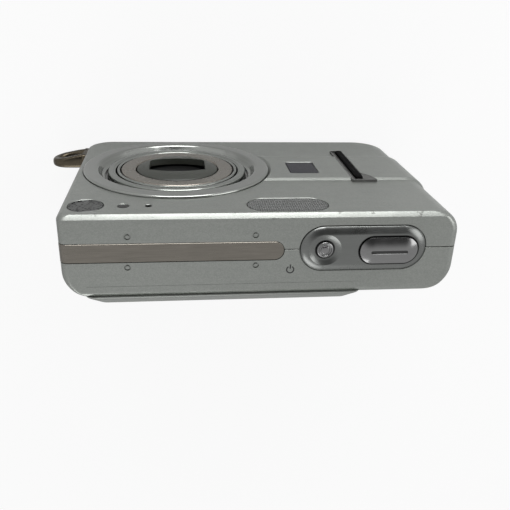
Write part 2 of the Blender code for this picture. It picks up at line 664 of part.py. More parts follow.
def lens_barrels():
    origin = (LENS_X, FRONT, LENS_Z)
    turned("lens_barrel_outer", "Y", LENS, barrel_profile(OUTER_BARREL_R, BARREL_BACK), BARREL, origin, LARGE_STEPS)
    inner_back = BARREL_BACK - GAP
    turned("lens_barrel_inner", "Y", LENS, barrel_profile(INNER_BARREL_R, inner_back), BARREL, origin, LARGE_STEPS)
    r_in, r_out = NAME_RING_R
    profile = [(r_in, NAME_RING_BACK), (r_out, NAME_RING_BACK), (r_out, FRONT + 0.12), (r_out - 0.12, FRONT),
               (r_in, FRONT + 0.05)]
    turned("lens_name_ring", "Y", LENS, profile, STEEL, origin, LARGE_STEPS)


def window_outline(grow=0.0):
    """The lens opening: flat sides, and curved top and bottom."""
    half_w = WINDOW_HALF_W + grow
    side = WINDOW_SIDE_HALF_H + grow
    rise = WINDOW_HALF_H - WINDOW_SIDE_HALF_H
    radius = (half_w * half_w + rise * rise) / (2 * rise)
    spread = math.degrees(math.asin(half_w / radius))
    top = arc((LENS_X, LENS_Z + side + rise - radius), radius, 90 - spread, 90 + spread, 8)
    base = arc((LENS_X, LENS_Z - side - rise + radius), radius, 270 - spread, 270 + spread, 8)
    return top + base


def window_ring():
    """The dark ring in the middle of the front. It rises to the edge of the lens opening."""
    crest = FRONT - WINDOW_RING_RAISE
    profile = [(0, NAME_RING_BACK), (WINDOW_RING_R, NAME_RING_BACK), (WINDOW_RING_R, FRONT),
               (WINDOW_RING_R - 1.65, FRONT - 0.62), (WINDOW_RING_R - 3.25, crest), (0, crest)]
    ring = turned("lens_window_ring", "Y", LENS, profile, BLACK, (LENS_X, FRONT, LENS_Z), LARGE_STEPS)
    cut(ring, prism("cut_window", "Y", window_outline(), crest - 1, NAME_RING_BACK + 1))


def barrier():
    """Two blades that part behind the opening, and the plate that they slide on."""
    seam = 0.15
    reach = WINDOW_HALF_H + 0.45
    for name, side in (("barrier_blade_upper", 1), ("barrier_blade_lower", -1)):
        edge = arc((LENS_X, LENS_Z + side * (reach - 9.0)), 9.0, 90 - 40, 90 + 40, 8)
        outline = [(LENS_X - BLADE_HALF_W, LENS_Z + side * seam), (LENS_X + BLADE_HALF_W, LENS_Z + side * seam)]
        outline += [(min(max(x, LENS_X - BLADE_HALF_W), LENS_X + BLADE_HALF_W),
                     z if side > 0 else 2 * (LENS_Z - reach + 9.0) - z) for x, z in edge]
        prism(name, "Y", outline, *BLADE_Y, BLACK, (LENS_X, BLADE_Y[0], LENS_Z + side * seam))
    blade_reach = math.hypot(BLADE_HALF_W, reach + BLADE_TRAVEL)
    rim_r = (blade_reach + GAP, INNER_BARREL_R[0] - GAP)
    profile = [(6.2, BLADE_PLATE_Y[0]), (rim_r[0], BLADE_PLATE_Y[0]), (rim_r[0], NAME_RING_BACK + GAP),
               (rim_r[1], NAME_RING_BACK + GAP), (rim_r[1], BLADE_PLATE_Y[1]), (6.2, BLADE_PLATE_Y[1])]
    turned("barrier_plate", "Y", LENS, profile, BLACK, (LENS_X, FRONT, LENS_Z), MEDIUM_STEPS)


def lens_profile(radius, middle, edge_half, bulge):
    """A biconvex lens as a turned profile."""
    steps = 3
    front = [(radius * i / steps, middle - edge_half - bulge * (1 - (i / steps) ** 2)) for i in range(steps + 1)]
    back = [(radius * i / steps, middle + edge_half + bulge * (1 - (i / steps) ** 2)) for i in range(steps, -1, -1)]
    return front + back


def lens_groups():
    origin = (LENS_X, FRONT, LENS_Z)
    cell_r = INNER_BARREL_R[0] - GAP
    tube("front_lens_cell", "Y", LENS, (FRONT_GLASS_R + GAP, cell_r), *CELL_Y, BLACK, origin)
    tube("rear_lens_cell", "Y", LENS, (REAR_GLASS_R + GAP, cell_r), *REAR_CELL_Y, BLACK, origin)
    turned("front_lens", "Y", LENS, lens_profile(FRONT_GLASS_R, sum(CELL_Y) / 2, 1.0, 0.8), GLASS, origin, MEDIUM_STEPS)
    turned("rear_lens", "Y", LENS, lens_profile(REAR_GLASS_R, sum(REAR_CELL_Y) / 2, 0.6, 0.5), GLASS, origin, MEDIUM_STEPS)


MOTOR_R = 3.0
MOTOR_X = (LENS_X - 12.5, LENS_X - 1.5)
MOTOR_Z = LENS_Z + LENS_BASE_R[1] + GAP + MOTOR_R
GEARBOX_X = (MOTOR_X[1] - 0.5, MOTOR_X[1] + 5.5)
MOTOR_Y = -1.8


def zoom_drive():
    motor = disc("zoom_motor", "X", (MOTOR_Y, MOTOR_Z), MOTOR_R, *MOTOR_X, BRIGHT, (MOTOR_X[0], MOTOR_Y, MOTOR_Z))
    gearbox = box("gearbox", GEARBOX_X, (MOTOR_Y - MOTOR_R, MOTOR_Y + MOTOR_R),
                  (MOTOR_Z - MOTOR_R, MOTOR_Z + MOTOR_R))
    add(motor, gearbox)


# --- Inside --------------------------------------------------------------------------------------------
CHASSIS_Z = (BUSH_H + 1.5, BODY_H - 2.2)
CHASSIS_X = (LEFT + 2.4, RIGHT - 2.3)
MAIN_BOARD_X = (LEFT + 3.4, LENS_X - LENS_BOARD_SIZE[0] / 2 - 2.0)
CARD_SLOT_WALL = 0.5
BATTERY_BOX_BACK = 0.0
CARD_SLOT_Y = (BATTERY_BOX_BACK + GAP, BOARD_Y - GAP)


def chassis_and_boards():
    chassis = box("chassis_plate", CHASSIS_X, (CHASSIS_Y, CHASSIS_Y + CHASSIS_T), CHASSIS_Z, BRIGHT)
    for number, x in enumerate((LEFT + 30, LENS_X)):
        window = rounded(x - 6, x + 6, BODY_H / 2 - 9, BODY_H / 2 + 9, 2.0, steps=3)
        cut(chassis, prism(f"cut_chassis_{number}", "Y", window, CHASSIS_Y - 1, CHASSIS_Y + CHASSIS_T + 1))
    board = box("main_board", MAIN_BOARD_X, (BOARD_Y, BOARD_Y + BOARD_T), (7.0, BODY_H - 2.6), BOARD)
    for number, (x, z) in enumerate(POSTS[:2]):
        cut(board, disc(f"cut_board_post_{number}", "Y", (x, z), POST_R + GAP, BOARD_Y - 1, BOARD_Y + BOARD_T + 1))
    box("key_board", (KEY_X - 6.8, KEY_X + 8.0), (KEY_BOARD_Y, KEY_BOARD_Y + KEY_BOARD_T), (8.0, BODY_H - 4.6), BOARD)


def battery_bay():
    x0, x1 = BATTERY_X
    z0, z1 = BATTERY_Z
    battery = prism("battery", "Z", rounded(x0, x1, *BATTERY_Y, 1.0, steps=3), z0, z1, LABEL)
    smooth(battery)
    inner = (x0 - GAP, x1 + GAP)
    outer = (inner[0] - BATTERY_BOX_WALL, inner[1] + BATTERY_BOX_WALL)
    back = BATTERY_Y[1] + GAP
    outline = [(outer[0], BATTERY_Y[0] - 0.1), (inner[0], BATTERY_Y[0] - 0.1), (inner[0], back), (inner[1], back),
               (inner[1], BATTERY_Y[0] - 0.1), (outer[1], BATTERY_Y[0] - 0.1), (outer[1], BATTERY_BOX_BACK),
               (outer[0], BATTERY_BOX_BACK)]
    holder = prism("battery_box", "Z", outline, 3.0, z1 + 2.4, BLACK)
    add(holder, box("battery_contacts", (x0 + 4.0, x0 + 14.0), (BATTERY_Y[0] + 1.2, back + 0.2), (z1 + GAP, z1 + 2.2)))


def card_bay():
    wall = CARD_SLOT_WALL
    half = CARD_SIZE[0] / 2
    x = (CARD_X - half - GAP - wall, CARD_X + half + GAP + wall)
    z = (CARD_Z + 0.6, CARD_Z + CARD_SIZE[2] + GAP + wall)
    slot = box("card_slot", x, CARD_SLOT_Y, z, BRIGHT)
    middle = (CARD_SLOT_Y[0] + CARD_SLOT_Y[1]) / 2
    card_y = (middle - CARD_SIZE[1] / 2, middle + CARD_SIZE[1] / 2)
    cavity = box("cut_card", (x[0] + wall, x[1] - wall), (card_y[0] - GAP, card_y[1] + GAP), (z[0] - 1, z[1] - wall))
    cut(slot, cavity)
    corner = 3.0
    outline = [(CARD_X - half, CARD_Z), (CARD_X + half, CARD_Z), (CARD_X + half, CARD_Z + CARD_SIZE[2] - corner),
               (CARD_X + half - corner, CARD_Z + CARD_SIZE[2]), (CARD_X - half, CARD_Z + CARD_SIZE[2])]
    prism("memory_card", "Y", outline, *card_y, BLACK)


BUTTON_BACK = TOP_INNER - GAP - FLANGE - 0.5
SWITCH_BOARD_TOP = BUTTON_BACK - SHUTTER_TRAVEL - GAP
SWITCH_BOARD_Z = (SWITCH_BOARD_TOP - BOARD_T, SWITCH_BOARD_TOP)
REFLECTOR_DEPTH = 3.6
REFLECTOR_Y = (FRONT_INNER + 0.5, FRONT_INNER + 0.5 + REFLECTOR_DEPTH)
CAPACITOR_R = 3.5


def switch_board():
    x = (SHUTTER_X - SHUTTER_SIZE[0] / 2 - 1.5, POWER_X + POWER_R + 2.5)
    box("switch_board", x, (REFLECTOR_Y[1] + GAP, BOARD_Y - GAP), SWITCH_BOARD_Z, BOARD)


def flash_unit():
    centre = (FLASH_X, FLASH_Z)
    face = FRONT - 0.02
    window = tapered("flash_window", "Y", [(obround(centre, FLASH_SIZE), FRONT_INNER + 0.2),
                                           (obround(centre, FLASH_SIZE), face + 0.25),
                                           (obround(centre, FLASH_SIZE, -0.25), face)], GLASS)
    smooth(window)
    back = REFLECTOR_Y[0]
    half_l = FLASH_SIZE[0] / 2 - 1.6
    half_h = FLASH_SIZE[1] / 2 - 0.9
    reflector_x = (FLASH_X - half_l, FLASH_X + half_l)
    depth = REFLECTOR_DEPTH
    reflector = box("flash_reflector", reflector_x, REFLECTOR_Y, (FLASH_Z - half_h, FLASH_Z + half_h), BRIGHT)
    trough = tapered("cut_reflector", "X", [(reflector_bowl(back, depth, half_h), x)
                                            for x in (reflector_x[0] + 0.4, reflector_x[1] - 0.4)])
    cut(reflector, trough)
    tube_y = back + depth - 1.7
    disc("flash_tube", "X", (tube_y, FLASH_Z), 0.95, reflector_x[0] + 0.7, reflector_x[1] - 0.7, GLASS,
         (reflector_x[0], tube_y, FLASH_Z), SMALL_STEPS)
    x0 = SHUTTER_X - 9.0
    y = BOARD_Y - GAP - CAPACITOR_R
    z = SWITCH_BOARD_Z[0] - GAP - CAPACITOR_R
    disc("flash_capacitor", "X", (y, z), CAPACITOR_R, x0, x0 + 22.0, BLACK, (x0, y, z))


def reflector_bowl(back, depth, half_h):
    """The reflector's trough, seen along the tube: a half-round bottom and flared sides."""
    radius = 1.25
    centre_y = back + depth - 0.4 - radius
    bottom = arc((centre_y, FLASH_Z), radius, -90, 90, 8)
    return [(back - 1, FLASH_Z - half_h + 0.3)] + bottom + [(back - 1, FLASH_Z + half_h - 0.3)]


# --- Front details -------------------------------------------------------------------------------------
def front_details():
    disc("speaker_grille", "Y", (SPEAKER_X, SPEAKER_Z), SPEAKER_R, FRONT + 0.1, FRONT_INNER - 0.2, GREY)
    disc("speaker", "Y", (SPEAKER_X, SPEAKER_Z), SPEAKER_R - 0.2, FRONT_INNER + 0.1, FRONT_INNER + 2.8, BLACK)
    disc("lamp_window", "Y", (LAMP_X, DETAIL_Z), LAMP_R, FRONT + 0.1, FRONT_INNER - 0.2, TINTED, steps=SMALL_STEPS)
    disc("microphone", "Y", (MIC_X, DETAIL_Z), 2.0, FRONT_INNER + GAP, FRONT_INNER + 1.8, BRIGHT, steps=SMALL_STEPS)
    face = FRONT - BAND_RAISE + 0.12
    prism("front_window", "Y", square_window(0.0), face, FRONT_INNER - 0.2, TINTED)


def grip():
    """A rubber bar, and the metal lining of its recess, which slopes along one side and at the upper end."""
    floor = FRONT - BAND_RAISE + GRIP_RECESS
    z0, z1 = GRIP_BAR_Z
    x0, x1 = GRIP_BAR_X
    crest = FRONT - BAND_RAISE - GRIP_RAISE
    levels = [(rounded(x0, x1, z0, z1, 0.4, steps=2), floor - GAP),
              (rounded(x0, x1, z0, z1, 0.4, steps=2), crest + 0.4),
              (rounded(x0 + 0.4, x1 - 0.4, z0 + 0.4, z1 - 0.4, 0.3, steps=2), crest)]
    tapered("grip_insert", "Y", levels, RUBBER)
    low = floor - GAP
    high = FRONT - BAND_RAISE + 0.05
    side = [(x1 + GAP, low), (x1 + GAP, low - 0.25), (x1 + GAP + GRIP_TRIM_W, high), (x1 + GAP + GRIP_TRIM_W, low)]
    trim = prism("grip_trim", "Z", side, z0, z1 + 2.3, DARK_CHROME)
    end = [(low, z1 + GAP), (low - 0.25, z1 + GAP), (high + 0.1, z1 + 2.3), (low, z1 + 2.3)]
    add(trim, prism("grip_trim_end", "X", end, x0 - GRIP_END_W, x1 + GAP + 0.5))


# --- Top -----------------------------------------------------------------------------------------------
def top_panel():
    centre = (PANEL_X, PANEL_Y)
    base = BODY_H - PANEL_SEAT + GAP
    levels = [(obround(centre, PANEL_SIZE), base), (obround(centre, PANEL_SIZE), BODY_H + 0.05),
              (obround(centre, PANEL_SIZE, -PANEL_SLOPE), BODY_H + PANEL_RAISE)]
    panel = tapered("top_panel", "Z", levels, DARK_CHROME)
    power = disc("cut_panel_power", "Z", (POWER_X, POWER_Y), POWER_R + 0.25, BODY_H - 2, BODY_H + 3)
    dish = turned("cut_panel_dish", "Z", (POWER_X, POWER_Y),
                  [(0, BODY_H + 0.35), (POWER_R + 0.2, BODY_H + 0.35), (POWER_R + 1.3, BODY_H + PANEL_RAISE + 0.1),
                   (0, BODY_H + PANEL_RAISE + 0.1)])
    shutter = prism("cut_panel_shutter", "Z", obround((SHUTTER_X, SHUTTER_Y), SHUTTER_SIZE, 0.25),
                    BODY_H - 2, BODY_H + 3)
    return cut(panel, power, dish, shutter)


def top_buttons():
    low = BUTTON_BACK
    crest = BODY_H + PANEL_RAISE + 0.05
    profile = [(0, low), (POWER_R + FLANGE, low), (POWER_R + FLANGE, TOP_INNER - GAP), (POWER_R, TOP_INNER - GAP),
               (POWER_R, crest - 0.3), (POWER_R - 0.35, crest), (1.0, crest - 0.2), (0, crest - 0.25)]
    turned("power_button", "Z", (POWER_X, POWER_Y), profile, BRIGHT, (POWER_X, POWER_Y, low), MEDIUM_STEPS)
    centre = (SHUTTER_X, SHUTTER_Y)
    crest = BODY_H + PANEL_RAISE + SHUTTER_RAISE
    levels = [(obround(centre, SHUTTER_SIZE, 0.8), low), (obround(centre, SHUTTER_SIZE, 0.8), TOP_INNER - GAP),
              (obround(centre, SHUTTER_SIZE), TOP_INNER - GAP + 0.001), (obround(centre, SHUTTER_SIZE), crest - 0.7),
              (obround(centre, SHUTTER_SIZE, -0.35), crest - 0.2), (obround(centre, SHUTTER_SIZE, -1.0), crest)]
    button = tapered("shutter_button", "Z", levels, DARK_CHROME, (SHUTTER_X, SHUTTER_Y, low))
    groove = prism("cut_shutter_groove", "Z", obround((SHUTTER_X, SHUTTER_Y), (8.4, 0.7)), crest - 0.35, crest + 1)
    smooth(cut(button, groove))


# --- Rear ----------------------------------------------------------------------------------------------
def screen():
    window_low = REAR + SCREEN_RAISE - 0.15 - SCREEN_WINDOW_T
    prism("screen_window", "Y", screen_window(), window_low, window_low + SCREEN_WINDOW_T, TINTED)
    prism("screen_panel", "Y", screen_window(-0.4), KEY_BOARD_Y, window_low - GAP, BLACK)


def rear_keys():
    back = KEY_BACK
    face = REAR + KEY_RAISE
    for name, (x, z) in small_keys().items():
        profile = [(0, back), (SMALL_KEY_R + 0.5, back), (SMALL_KEY_R + 0.5, back + KEY_FLANGE_T),
                   (SMALL_KEY_R, back + KEY_FLANGE_T),
                   (SMALL_KEY_R, face - 0.3), (SMALL_KEY_R - 0.3, face), (0, face + 0.1)]
        turned(name, "Y", (x, z), profile, BRIGHT, (x, back, z), SMALL_STEPS)
    centre = (KEY_X, ROCKER_Z)
    levels = [(obround(centre, ROCKER_SIZE), back), (obround(centre, ROCKER_SIZE), face - 0.2),
              (obround(centre, ROCKER_SIZE, -0.5), face + 0.2)]
    smooth(tapered("zoom_rocker", "Y", levels, BRIGHT, (KEY_X, back, ROCKER_Z)))
    pad_centre = (KEY_X, PAD_Z)
    r_in, r_out = PAD_R
    profile = [(r_in, back), (r_out, back), (r_out, face - 0.3), (r_out - 0.4, face), (r_in + 1.4, face - 0.3),
               (r_in, face - 0.1)]
    pivot_y = (KEY_BOARD_Y + KEY_BOARD_T + GAP, back - GAP)
    hinge = (KEY_X, sum(pivot_y) / 2, PAD_Z)
    turned("four_way_pad", "Y", pad_centre, profile, BRIGHT, hinge, MEDIUM_STEPS)
    tube("pad_pivot", "Y", pad_centre, (r_in + 0.3, 5.0), *pivot_y, GREY, hinge, MEDIUM_STEPS)
    set_back = back - 0.2
    profile = [(0, set_back), (SET_R, set_back), (SET_R, face - 0.2), (SET_R - 0.3, face + 0.1), (0, face + 0.2)]
    turned("set_button", "Y", pad_centre, profile, BRIGHT, (KEY_X, set_back, PAD_Z), MEDIUM_STEPS)


# --- Base and sides ------------------------------------------------------------------------------------
def battery_door():
    axis_y, axis_z = HINGE_AXIS
    origin = (DOOR_X[0], axis_y, axis_z)
    door = box("battery_door", DOOR_X, DOOR_Y, (0.0, DOOR_T), PAINTED, origin)
    for side, (x0, x1) in (("low", (DOOR_X[0], MIDDLE_KNUCKLE_X[0] - GAP)),
                           ("high", (MIDDLE_KNUCKLE_X[1] + GAP, DOOR_X[1]))):
        bridge = box(f"door_bridge_{side}", (x0, x1), (DOOR_Y[1] - 0.5, axis_y), (0.0, DOOR_T))
        knuckle = disc(f"door_knuckle_{side}", "X", HINGE_AXIS, KNUCKLE_R, x0, x1, steps=SMALL_STEPS)
        add(door, bridge, knuckle)
    cut(door, disc("cut_door_pin", "X", HINGE_AXIS, PIN_BORE_R, DOOR_X[0] - 1, DOOR_X[1] + 1, steps=SMALL_STEPS))
    x0 = (DOOR_X[0] + DOOR_X[1] - LATCH_SIZE[0]) / 2
    y0 = DOOR_Y[0] + 1.0
    recess = box("cut_latch", (x0 - GAP, x0 + LATCH_SIZE[0] + GAP),
                 (y0 - GAP, y0 + LATCH_SIZE[1] + LATCH_TRAVEL + GAP), (-1, LATCH_SIZE[2] + GAP))
    cut(door, recess)
    box("battery_latch", (x0, x0 + LATCH_SIZE[0]), (y0, y0 + LATCH_SIZE[1]), (0.02, LATCH_SIZE[2]), GREY,
        (x0, y0, 0.0))
    disc("door_hinge_pin", "X", HINGE_AXIS, PIN_R, DOOR_X[0] + 0.2, DOOR_X[1] - 0.2, BRIGHT, origin, SMALL_STEPS)


def base_fittings():
    r_in, r_out = BUSH_R
    profile = [(r_in, 0.05), (r_out, 0.05), (r_out, BUSH_H), (0, BUSH_H), (0, BUSH_H - 0.6), (r_in, BUSH_H - 0.6)]
    turned("tripod_bush", "Z", (BUSH_X, BUSH_Y), profile, BRIGHT, (BUSH_X, BUSH_Y, 0.0), MEDIUM_STEPS)
    dock = box("dock_connector", DOCK_X, DOCK_Y, (0.15, DOCK_H), BLACK)
    slot = box("cut_dock_slot", (DOCK_X[0] + 1.0, DOCK_X[1] - 1.0), (DOCK_Y[0] + 0.8, DOCK_Y[1] - 0.8),
               (-1, DOCK_H - 0.8))
    cut(dock, slot)
    flat_screws()


def strap_loop():
    """A steel loop on the lens side, low down near the front."""
    z0, z1 = LOOP_Z
    base = RIGHT + GAP
    tip = RIGHT + LOOP_REACH
    outer = ([(base, z0 + 1.0), (tip - 3.0, z0)] + arc((tip - 2.6, z0 + 2.8), 2.6, -80, 0, 4)
             + arc((tip - 2.6, z1 - 2.8), 2.6, 0, 75, 4) + [(base, z1)])
    loop = prism("strap_loop", "Y", outer, *LOOP_Y, STEEL)
    bar = LOOP_BAR
    eye = rounded(base + bar - 0.6, tip - bar, z0 + 2.6, z1 - 2.2, 1.2, steps=4)
    cut(loop, prism("cut_eye", "Y", eye, LOOP_Y[0] - 1, LOOP_Y[1] + 1))
    taper = [(base + 1.0, LOOP_Y[0] - 1), (base + 1.0, LOOP_Y[0]), (tip + 1.0, LOOP_Y[0] + LOOP_TAPER),
             (tip + 1.0, LOOP_Y[0] - 1)]
    cut(loop, prism("cut_taper", "Z", taper, z0 - 1, z1 + 1))
    plug = box("loop_plug", (RIGHT - WALL, base + 0.3), (LOOP_Y[0] + 0.5, LOOP_Y[1] - 0.5), (z0 + 2.9, z1 - 1.5))
    add(loop, plug)


def main():
    for obj in list(bpy.data.objects):
        bpy.data.objects.remove(obj, do_unlink=True)
    front_cover()
    rear_cover()
    bezel_ring()
    lens_mount()
    lens_barrels()
    window_ring()
    barrier()
    lens_groups()
    zoom_drive()
    chassis_and_boards()
    battery_bay()
    card_bay()
    switch_board()
    flash_unit()
    front_details()
    grip()
    top_panel()
    top_buttons()
    trim_shape("trim_band", 0.0, 0.05, TRIM_T, STEEL)
    screen()
    rear_keys()
    battery_door()
    base_fittings()
    strap_loop()
    bpy.context.view_layer.update()


main()
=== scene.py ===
import math

import bmesh
import bpy
from mathutils import Matrix, Vector


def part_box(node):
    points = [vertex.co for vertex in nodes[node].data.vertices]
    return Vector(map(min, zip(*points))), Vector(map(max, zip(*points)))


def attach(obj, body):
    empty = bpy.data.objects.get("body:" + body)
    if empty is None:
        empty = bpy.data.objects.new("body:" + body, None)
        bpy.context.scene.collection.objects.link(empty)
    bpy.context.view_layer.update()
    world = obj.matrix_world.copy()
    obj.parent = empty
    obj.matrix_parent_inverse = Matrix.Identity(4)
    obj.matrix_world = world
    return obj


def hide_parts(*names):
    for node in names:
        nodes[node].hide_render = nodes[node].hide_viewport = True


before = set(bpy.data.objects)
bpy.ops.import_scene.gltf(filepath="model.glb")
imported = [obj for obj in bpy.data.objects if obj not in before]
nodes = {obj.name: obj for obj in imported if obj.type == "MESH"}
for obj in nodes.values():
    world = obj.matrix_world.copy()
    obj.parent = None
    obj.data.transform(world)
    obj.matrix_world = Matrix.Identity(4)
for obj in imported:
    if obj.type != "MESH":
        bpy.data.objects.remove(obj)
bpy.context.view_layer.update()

MM = 0.001
RING_STEPS = 192            # facets round the lens
DISC_STEPS = 64
HANDLING = 0.06             # how far handling changes a surface's roughness

# --- Sizes of the camera, in millimetres ---
BODY_W, BODY_H, BODY_T = 88.1, 60.3, 19.7
WALL = 1.2
FRONT, REAR = -BODY_T / 2, BODY_T / 2
LEFT, RIGHT = -BODY_W / 2, BODY_W / 2
FRONT_INNER, REAR_INNER = FRONT + WALL, REAR - WALL
TOP_INNER = BODY_H - WALL
SEAM_Y = -1.45
SEAM_HALF = 0.1
LIP = 0.09                  # chamfer round the openings
SEAM_LIP = 0.03             # chamfer on the covers' meeting edges
CORNER_FRONT_GRIP, CORNER_FRONT_LENS = 5.25, 1.4
CORNER_REAR_GRIP, CORNER_REAR_LENS = 6.5, 6.3
EDGE_FRONT, EDGE_REAR = 0.96, 1.7
BASE_CORNER_R, TOP_CORNER_R = 5.5, 1.8
BAND_RAISE, BAND_Z = 0.55, (18.4, 36.9)
LENS = (RIGHT - 25.18, 26.66)
RING_R, RING_BORE_R, RING_SEAT_R = 23.55, 18.25, 21.2
RING_BACK = FRONT_INNER + 0.45
BARREL_BACK = 1.8
# the bore and the outer radius of each lens part
OUTER_BARREL, INNER_BARREL, NAME_RING = (15.6, 17.5), (14.5, 15.3), (10.5, 14.2)
WINDOW_RING_R = 10.25
NAME_BACK = FRONT + 0.8
SCREEN_X = (LEFT + 22.98, RIGHT - 6.4)
SCREEN_Z = (5.2, BODY_H - 1.9)
SCREEN_RAISE, SCREEN_SLOPE = 1.9, 2.0
PANEL, PANEL_SIZE, PANEL_RAISE, PANEL_GAP = (LEFT + 21.85, -1.5), (28.6, 10.6), 0.95, 0.15
POWER, POWER_R = (LEFT + 30.7, -1.5), 1.95
SHUTTER, SHUTTER_SIZE, SHUTTER_GAP = (LEFT + 16.3, -1.3), (13.2, 6.3), 0.34
BUTTON_BACK, BUTTON_STOP = TOP_INNER - 1.4, TOP_INNER - 0.3
POWER_MARK, POWER_MARK_R = (-5.9, 3.5), 0.95
TRIM_Y, TRIM_END_X, TRIM_END_LONG, TRIM_FOOT_Z = (-3.35, 0.95), -4.3, 8.6, 15.0
PANE_GAP = 0.14             # round the panes in the front
SPEAKER, SPEAKER_R = (RIGHT - 5.55, BODY_H - 6.2), 3.75
LAMP, LAMP_R = (RIGHT - 13.55, BODY_H - 5.8), 1.25
MIC, MIC_R = (RIGHT - 18.95, BODY_H - 5.8), 0.8
FLASH, FLASH_SIZE = (LEFT + 38.45, BODY_H - 5.8), (18.2, 8.1)
SENSOR, SENSOR_SIZE = (LEFT + 30.65, 28.5), (7.2, 9.4)
GRIP_X, GRIP_Z = (LEFT + 16.3, LEFT + 18.1), (12.6, 36.4)
GRIP_FLOOR = FRONT - BAND_RAISE + 0.9
KEY_X = LEFT + 12.2
KEY_FACE = REAR + 0.5
KEY_BACK = REAR_INNER - 1.0
ROCKER, ROCKER_SIZE = (KEY_X, BODY_H - 8.8), (12.0, 4.8)
PAD, PAD_R, SET_KEY_R, SMALL_KEY_R = (KEY_X, 28.5), 7.8, 3.0, 2.3
SMALL_KEYS = {"record_button": (KEY_X - 4.1, BODY_H - 17.0), "play_button": (KEY_X + 4.1, BODY_H - 17.0),
              "menu_button": (KEY_X - 4.1, 13.5), "display_button": (KEY_X + 4.1, 13.5)}
BUSH, DOCK_X, DOCK_Y = (LEFT + 48.1, 3.4), (RIGHT - 24.0, RIGHT - 10.0), (1.2, 5.2)
DOOR_X, DOOR_Y, DOOR_GAP = (LEFT + 5.85, LEFT + 38.85), (-7.0, 2.6), 0.12
DOCK_GAP = 0.12
LATCH_SIZE, LATCH_TRAVEL = (7.0, 2.5), 1.5
HINGE = (3.6, 1.0)
KNUCKLE_X = (LEFT + 20.0, LEFT + 24.5)
LOOP_Y, LOOP_Z, LOOP_TIP, LOOP_HALF_W = (-8.6, -4.6), (2.3, 10.4), RIGHT + 9.9, 1.1
SCREW = (2.6, BODY_H - 16.0)


# --- Outlines ---
def arc(centre, radius, start, end, steps):
    angles = [math.radians(start + (end - start) * i / steps) for i in range(steps + 1)]
    return [(centre[0] + radius * math.cos(a), centre[1] + radius * math.sin(a)) for a in angles]


def rounded(u0, u1, v0, v1, low_r, high_r=None, steps=10):
    high_r = low_r if high_r is None else high_r
    return (arc((u1 - low_r, v0 + low_r), low_r, -90, 0, steps)
            + arc((u1 - high_r, v1 - high_r), high_r, 0, 90, steps)
            + arc((u0 + high_r, v1 - high_r), high_r, 90, 180, steps)
            + arc((u0 + low_r, v0 + low_r), low_r, 180, 270, steps))


def about(centre, size, radius, grow=0.0, steps=10):
    """A rounded rectangle about a centre, grown on all sides."""
    u, v = size[0] / 2 + grow, size[1] / 2 + grow
    radius = max(min(radius + grow, u - 1e-3, v - 1e-3), 0.02)
    return rounded(centre[0] - u, centre[0] + u, centre[1] - v, centre[1] + v, radius, steps=steps)


def obround(centre, size, grow=0.0, steps=16):
    return about(centre, size, min(size) / 2, grow, steps)


def circle(centre, radius, steps=DISC_STEPS):
    return arc(centre, radius, 0, 360 * (steps - 1) / steps, steps - 1)


# --- Solids ---
def place(axis, u, v, w):
    return {"X": (w, u, v), "Y": (u, w, v), "Z": (u, v, w)}[axis]


def to_object(name, bm):
    bmesh.ops.remove_doubles(bm, verts=bm.verts, dist=1e-5)
    bmesh.ops.recalc_face_normals(bm, faces=bm.faces)
    bmesh.ops.scale(bm, verts=bm.verts, vec=(MM, MM, MM))
    mesh = bpy.data.meshes.new(name)
    bm.to_mesh(mesh)
    bm.free()
    obj = bpy.data.objects.new(name, mesh)
    bpy.context.scene.collection.objects.link(obj)
    return obj


def loft(name, rings, closed=False):
    """Skin rings of equal point counts. A closed loft joins its last ring to its first."""
    bm = bmesh.new()
    loops = [[bm.verts.new(point) for point in ring] for ring in rings]
    pairs = list(zip(loops, loops[1:])) + ([(loops[-1], loops[0])] if closed else [])
    for low, high in pairs:
        for i in range(len(low)):
            j = (i + 1) % len(low)
            bm.faces.new((low[i], low[j], high[j], high[i]))
    if not closed:
        bm.faces.new(loops[0])
        bm.faces.new(loops[-1])
    return to_object(name, bm)


def tapered(name, axis, levels):
    return loft(name, [[place(axis, u, v, w) for u, v in outline] for outline, w in levels])


def layered(name, axis, outline, levels):
    """Skin an outline through levels of (growth of the outline, place along the axis)."""
    return tapered(name, axis, [(outline(grow), w) for grow, w in levels])


def above(height, points):
    """Points whose second number is measured from a height."""
    return [(u, height + w) for u, w in points]


def prism(name, axis, outline, low, high):
    return tapered(name, axis, [(outline, low), (outline, high)])


def box(name, x, y, z):
    return prism(name, "Z", [(x[0], y[0]), (x[1], y[0]), (x[1], y[1]), (x[0], y[1])], z[0], z[1])


def turned(name, axis, centre, profile, steps=DISC_STEPS):
    """Spin a closed profile of (radius, place along the axis) points. Radius 0 lies on the axis."""
    bm = bmesh.new()
    rows = []
    for radius, w in profile:
        points = [centre] if radius < 1e-6 else circle(centre, radius, steps)
        rows.append([bm.verts.new(place(axis, u, v, w)) for u, v in points])
    for a, b in zip(rows, rows[1:] + rows[:1]):
        if len(a) == 1 and len(b) == 1:
            continue
        for i in range(steps):
            j = (i + 1) % steps
            bm.faces.new(list(dict.fromkeys((a[i % len(a)], a[j % len(a)], b[j % len(b)], b[i % len(b)]))))
    return to_object(name, bm)


def disc(name, axis, centre, radius, low, high, steps=DISC_STEPS):
    return turned(name, axis, centre, [(0, low), (radius, low), (radius, high), (0, high)], steps)


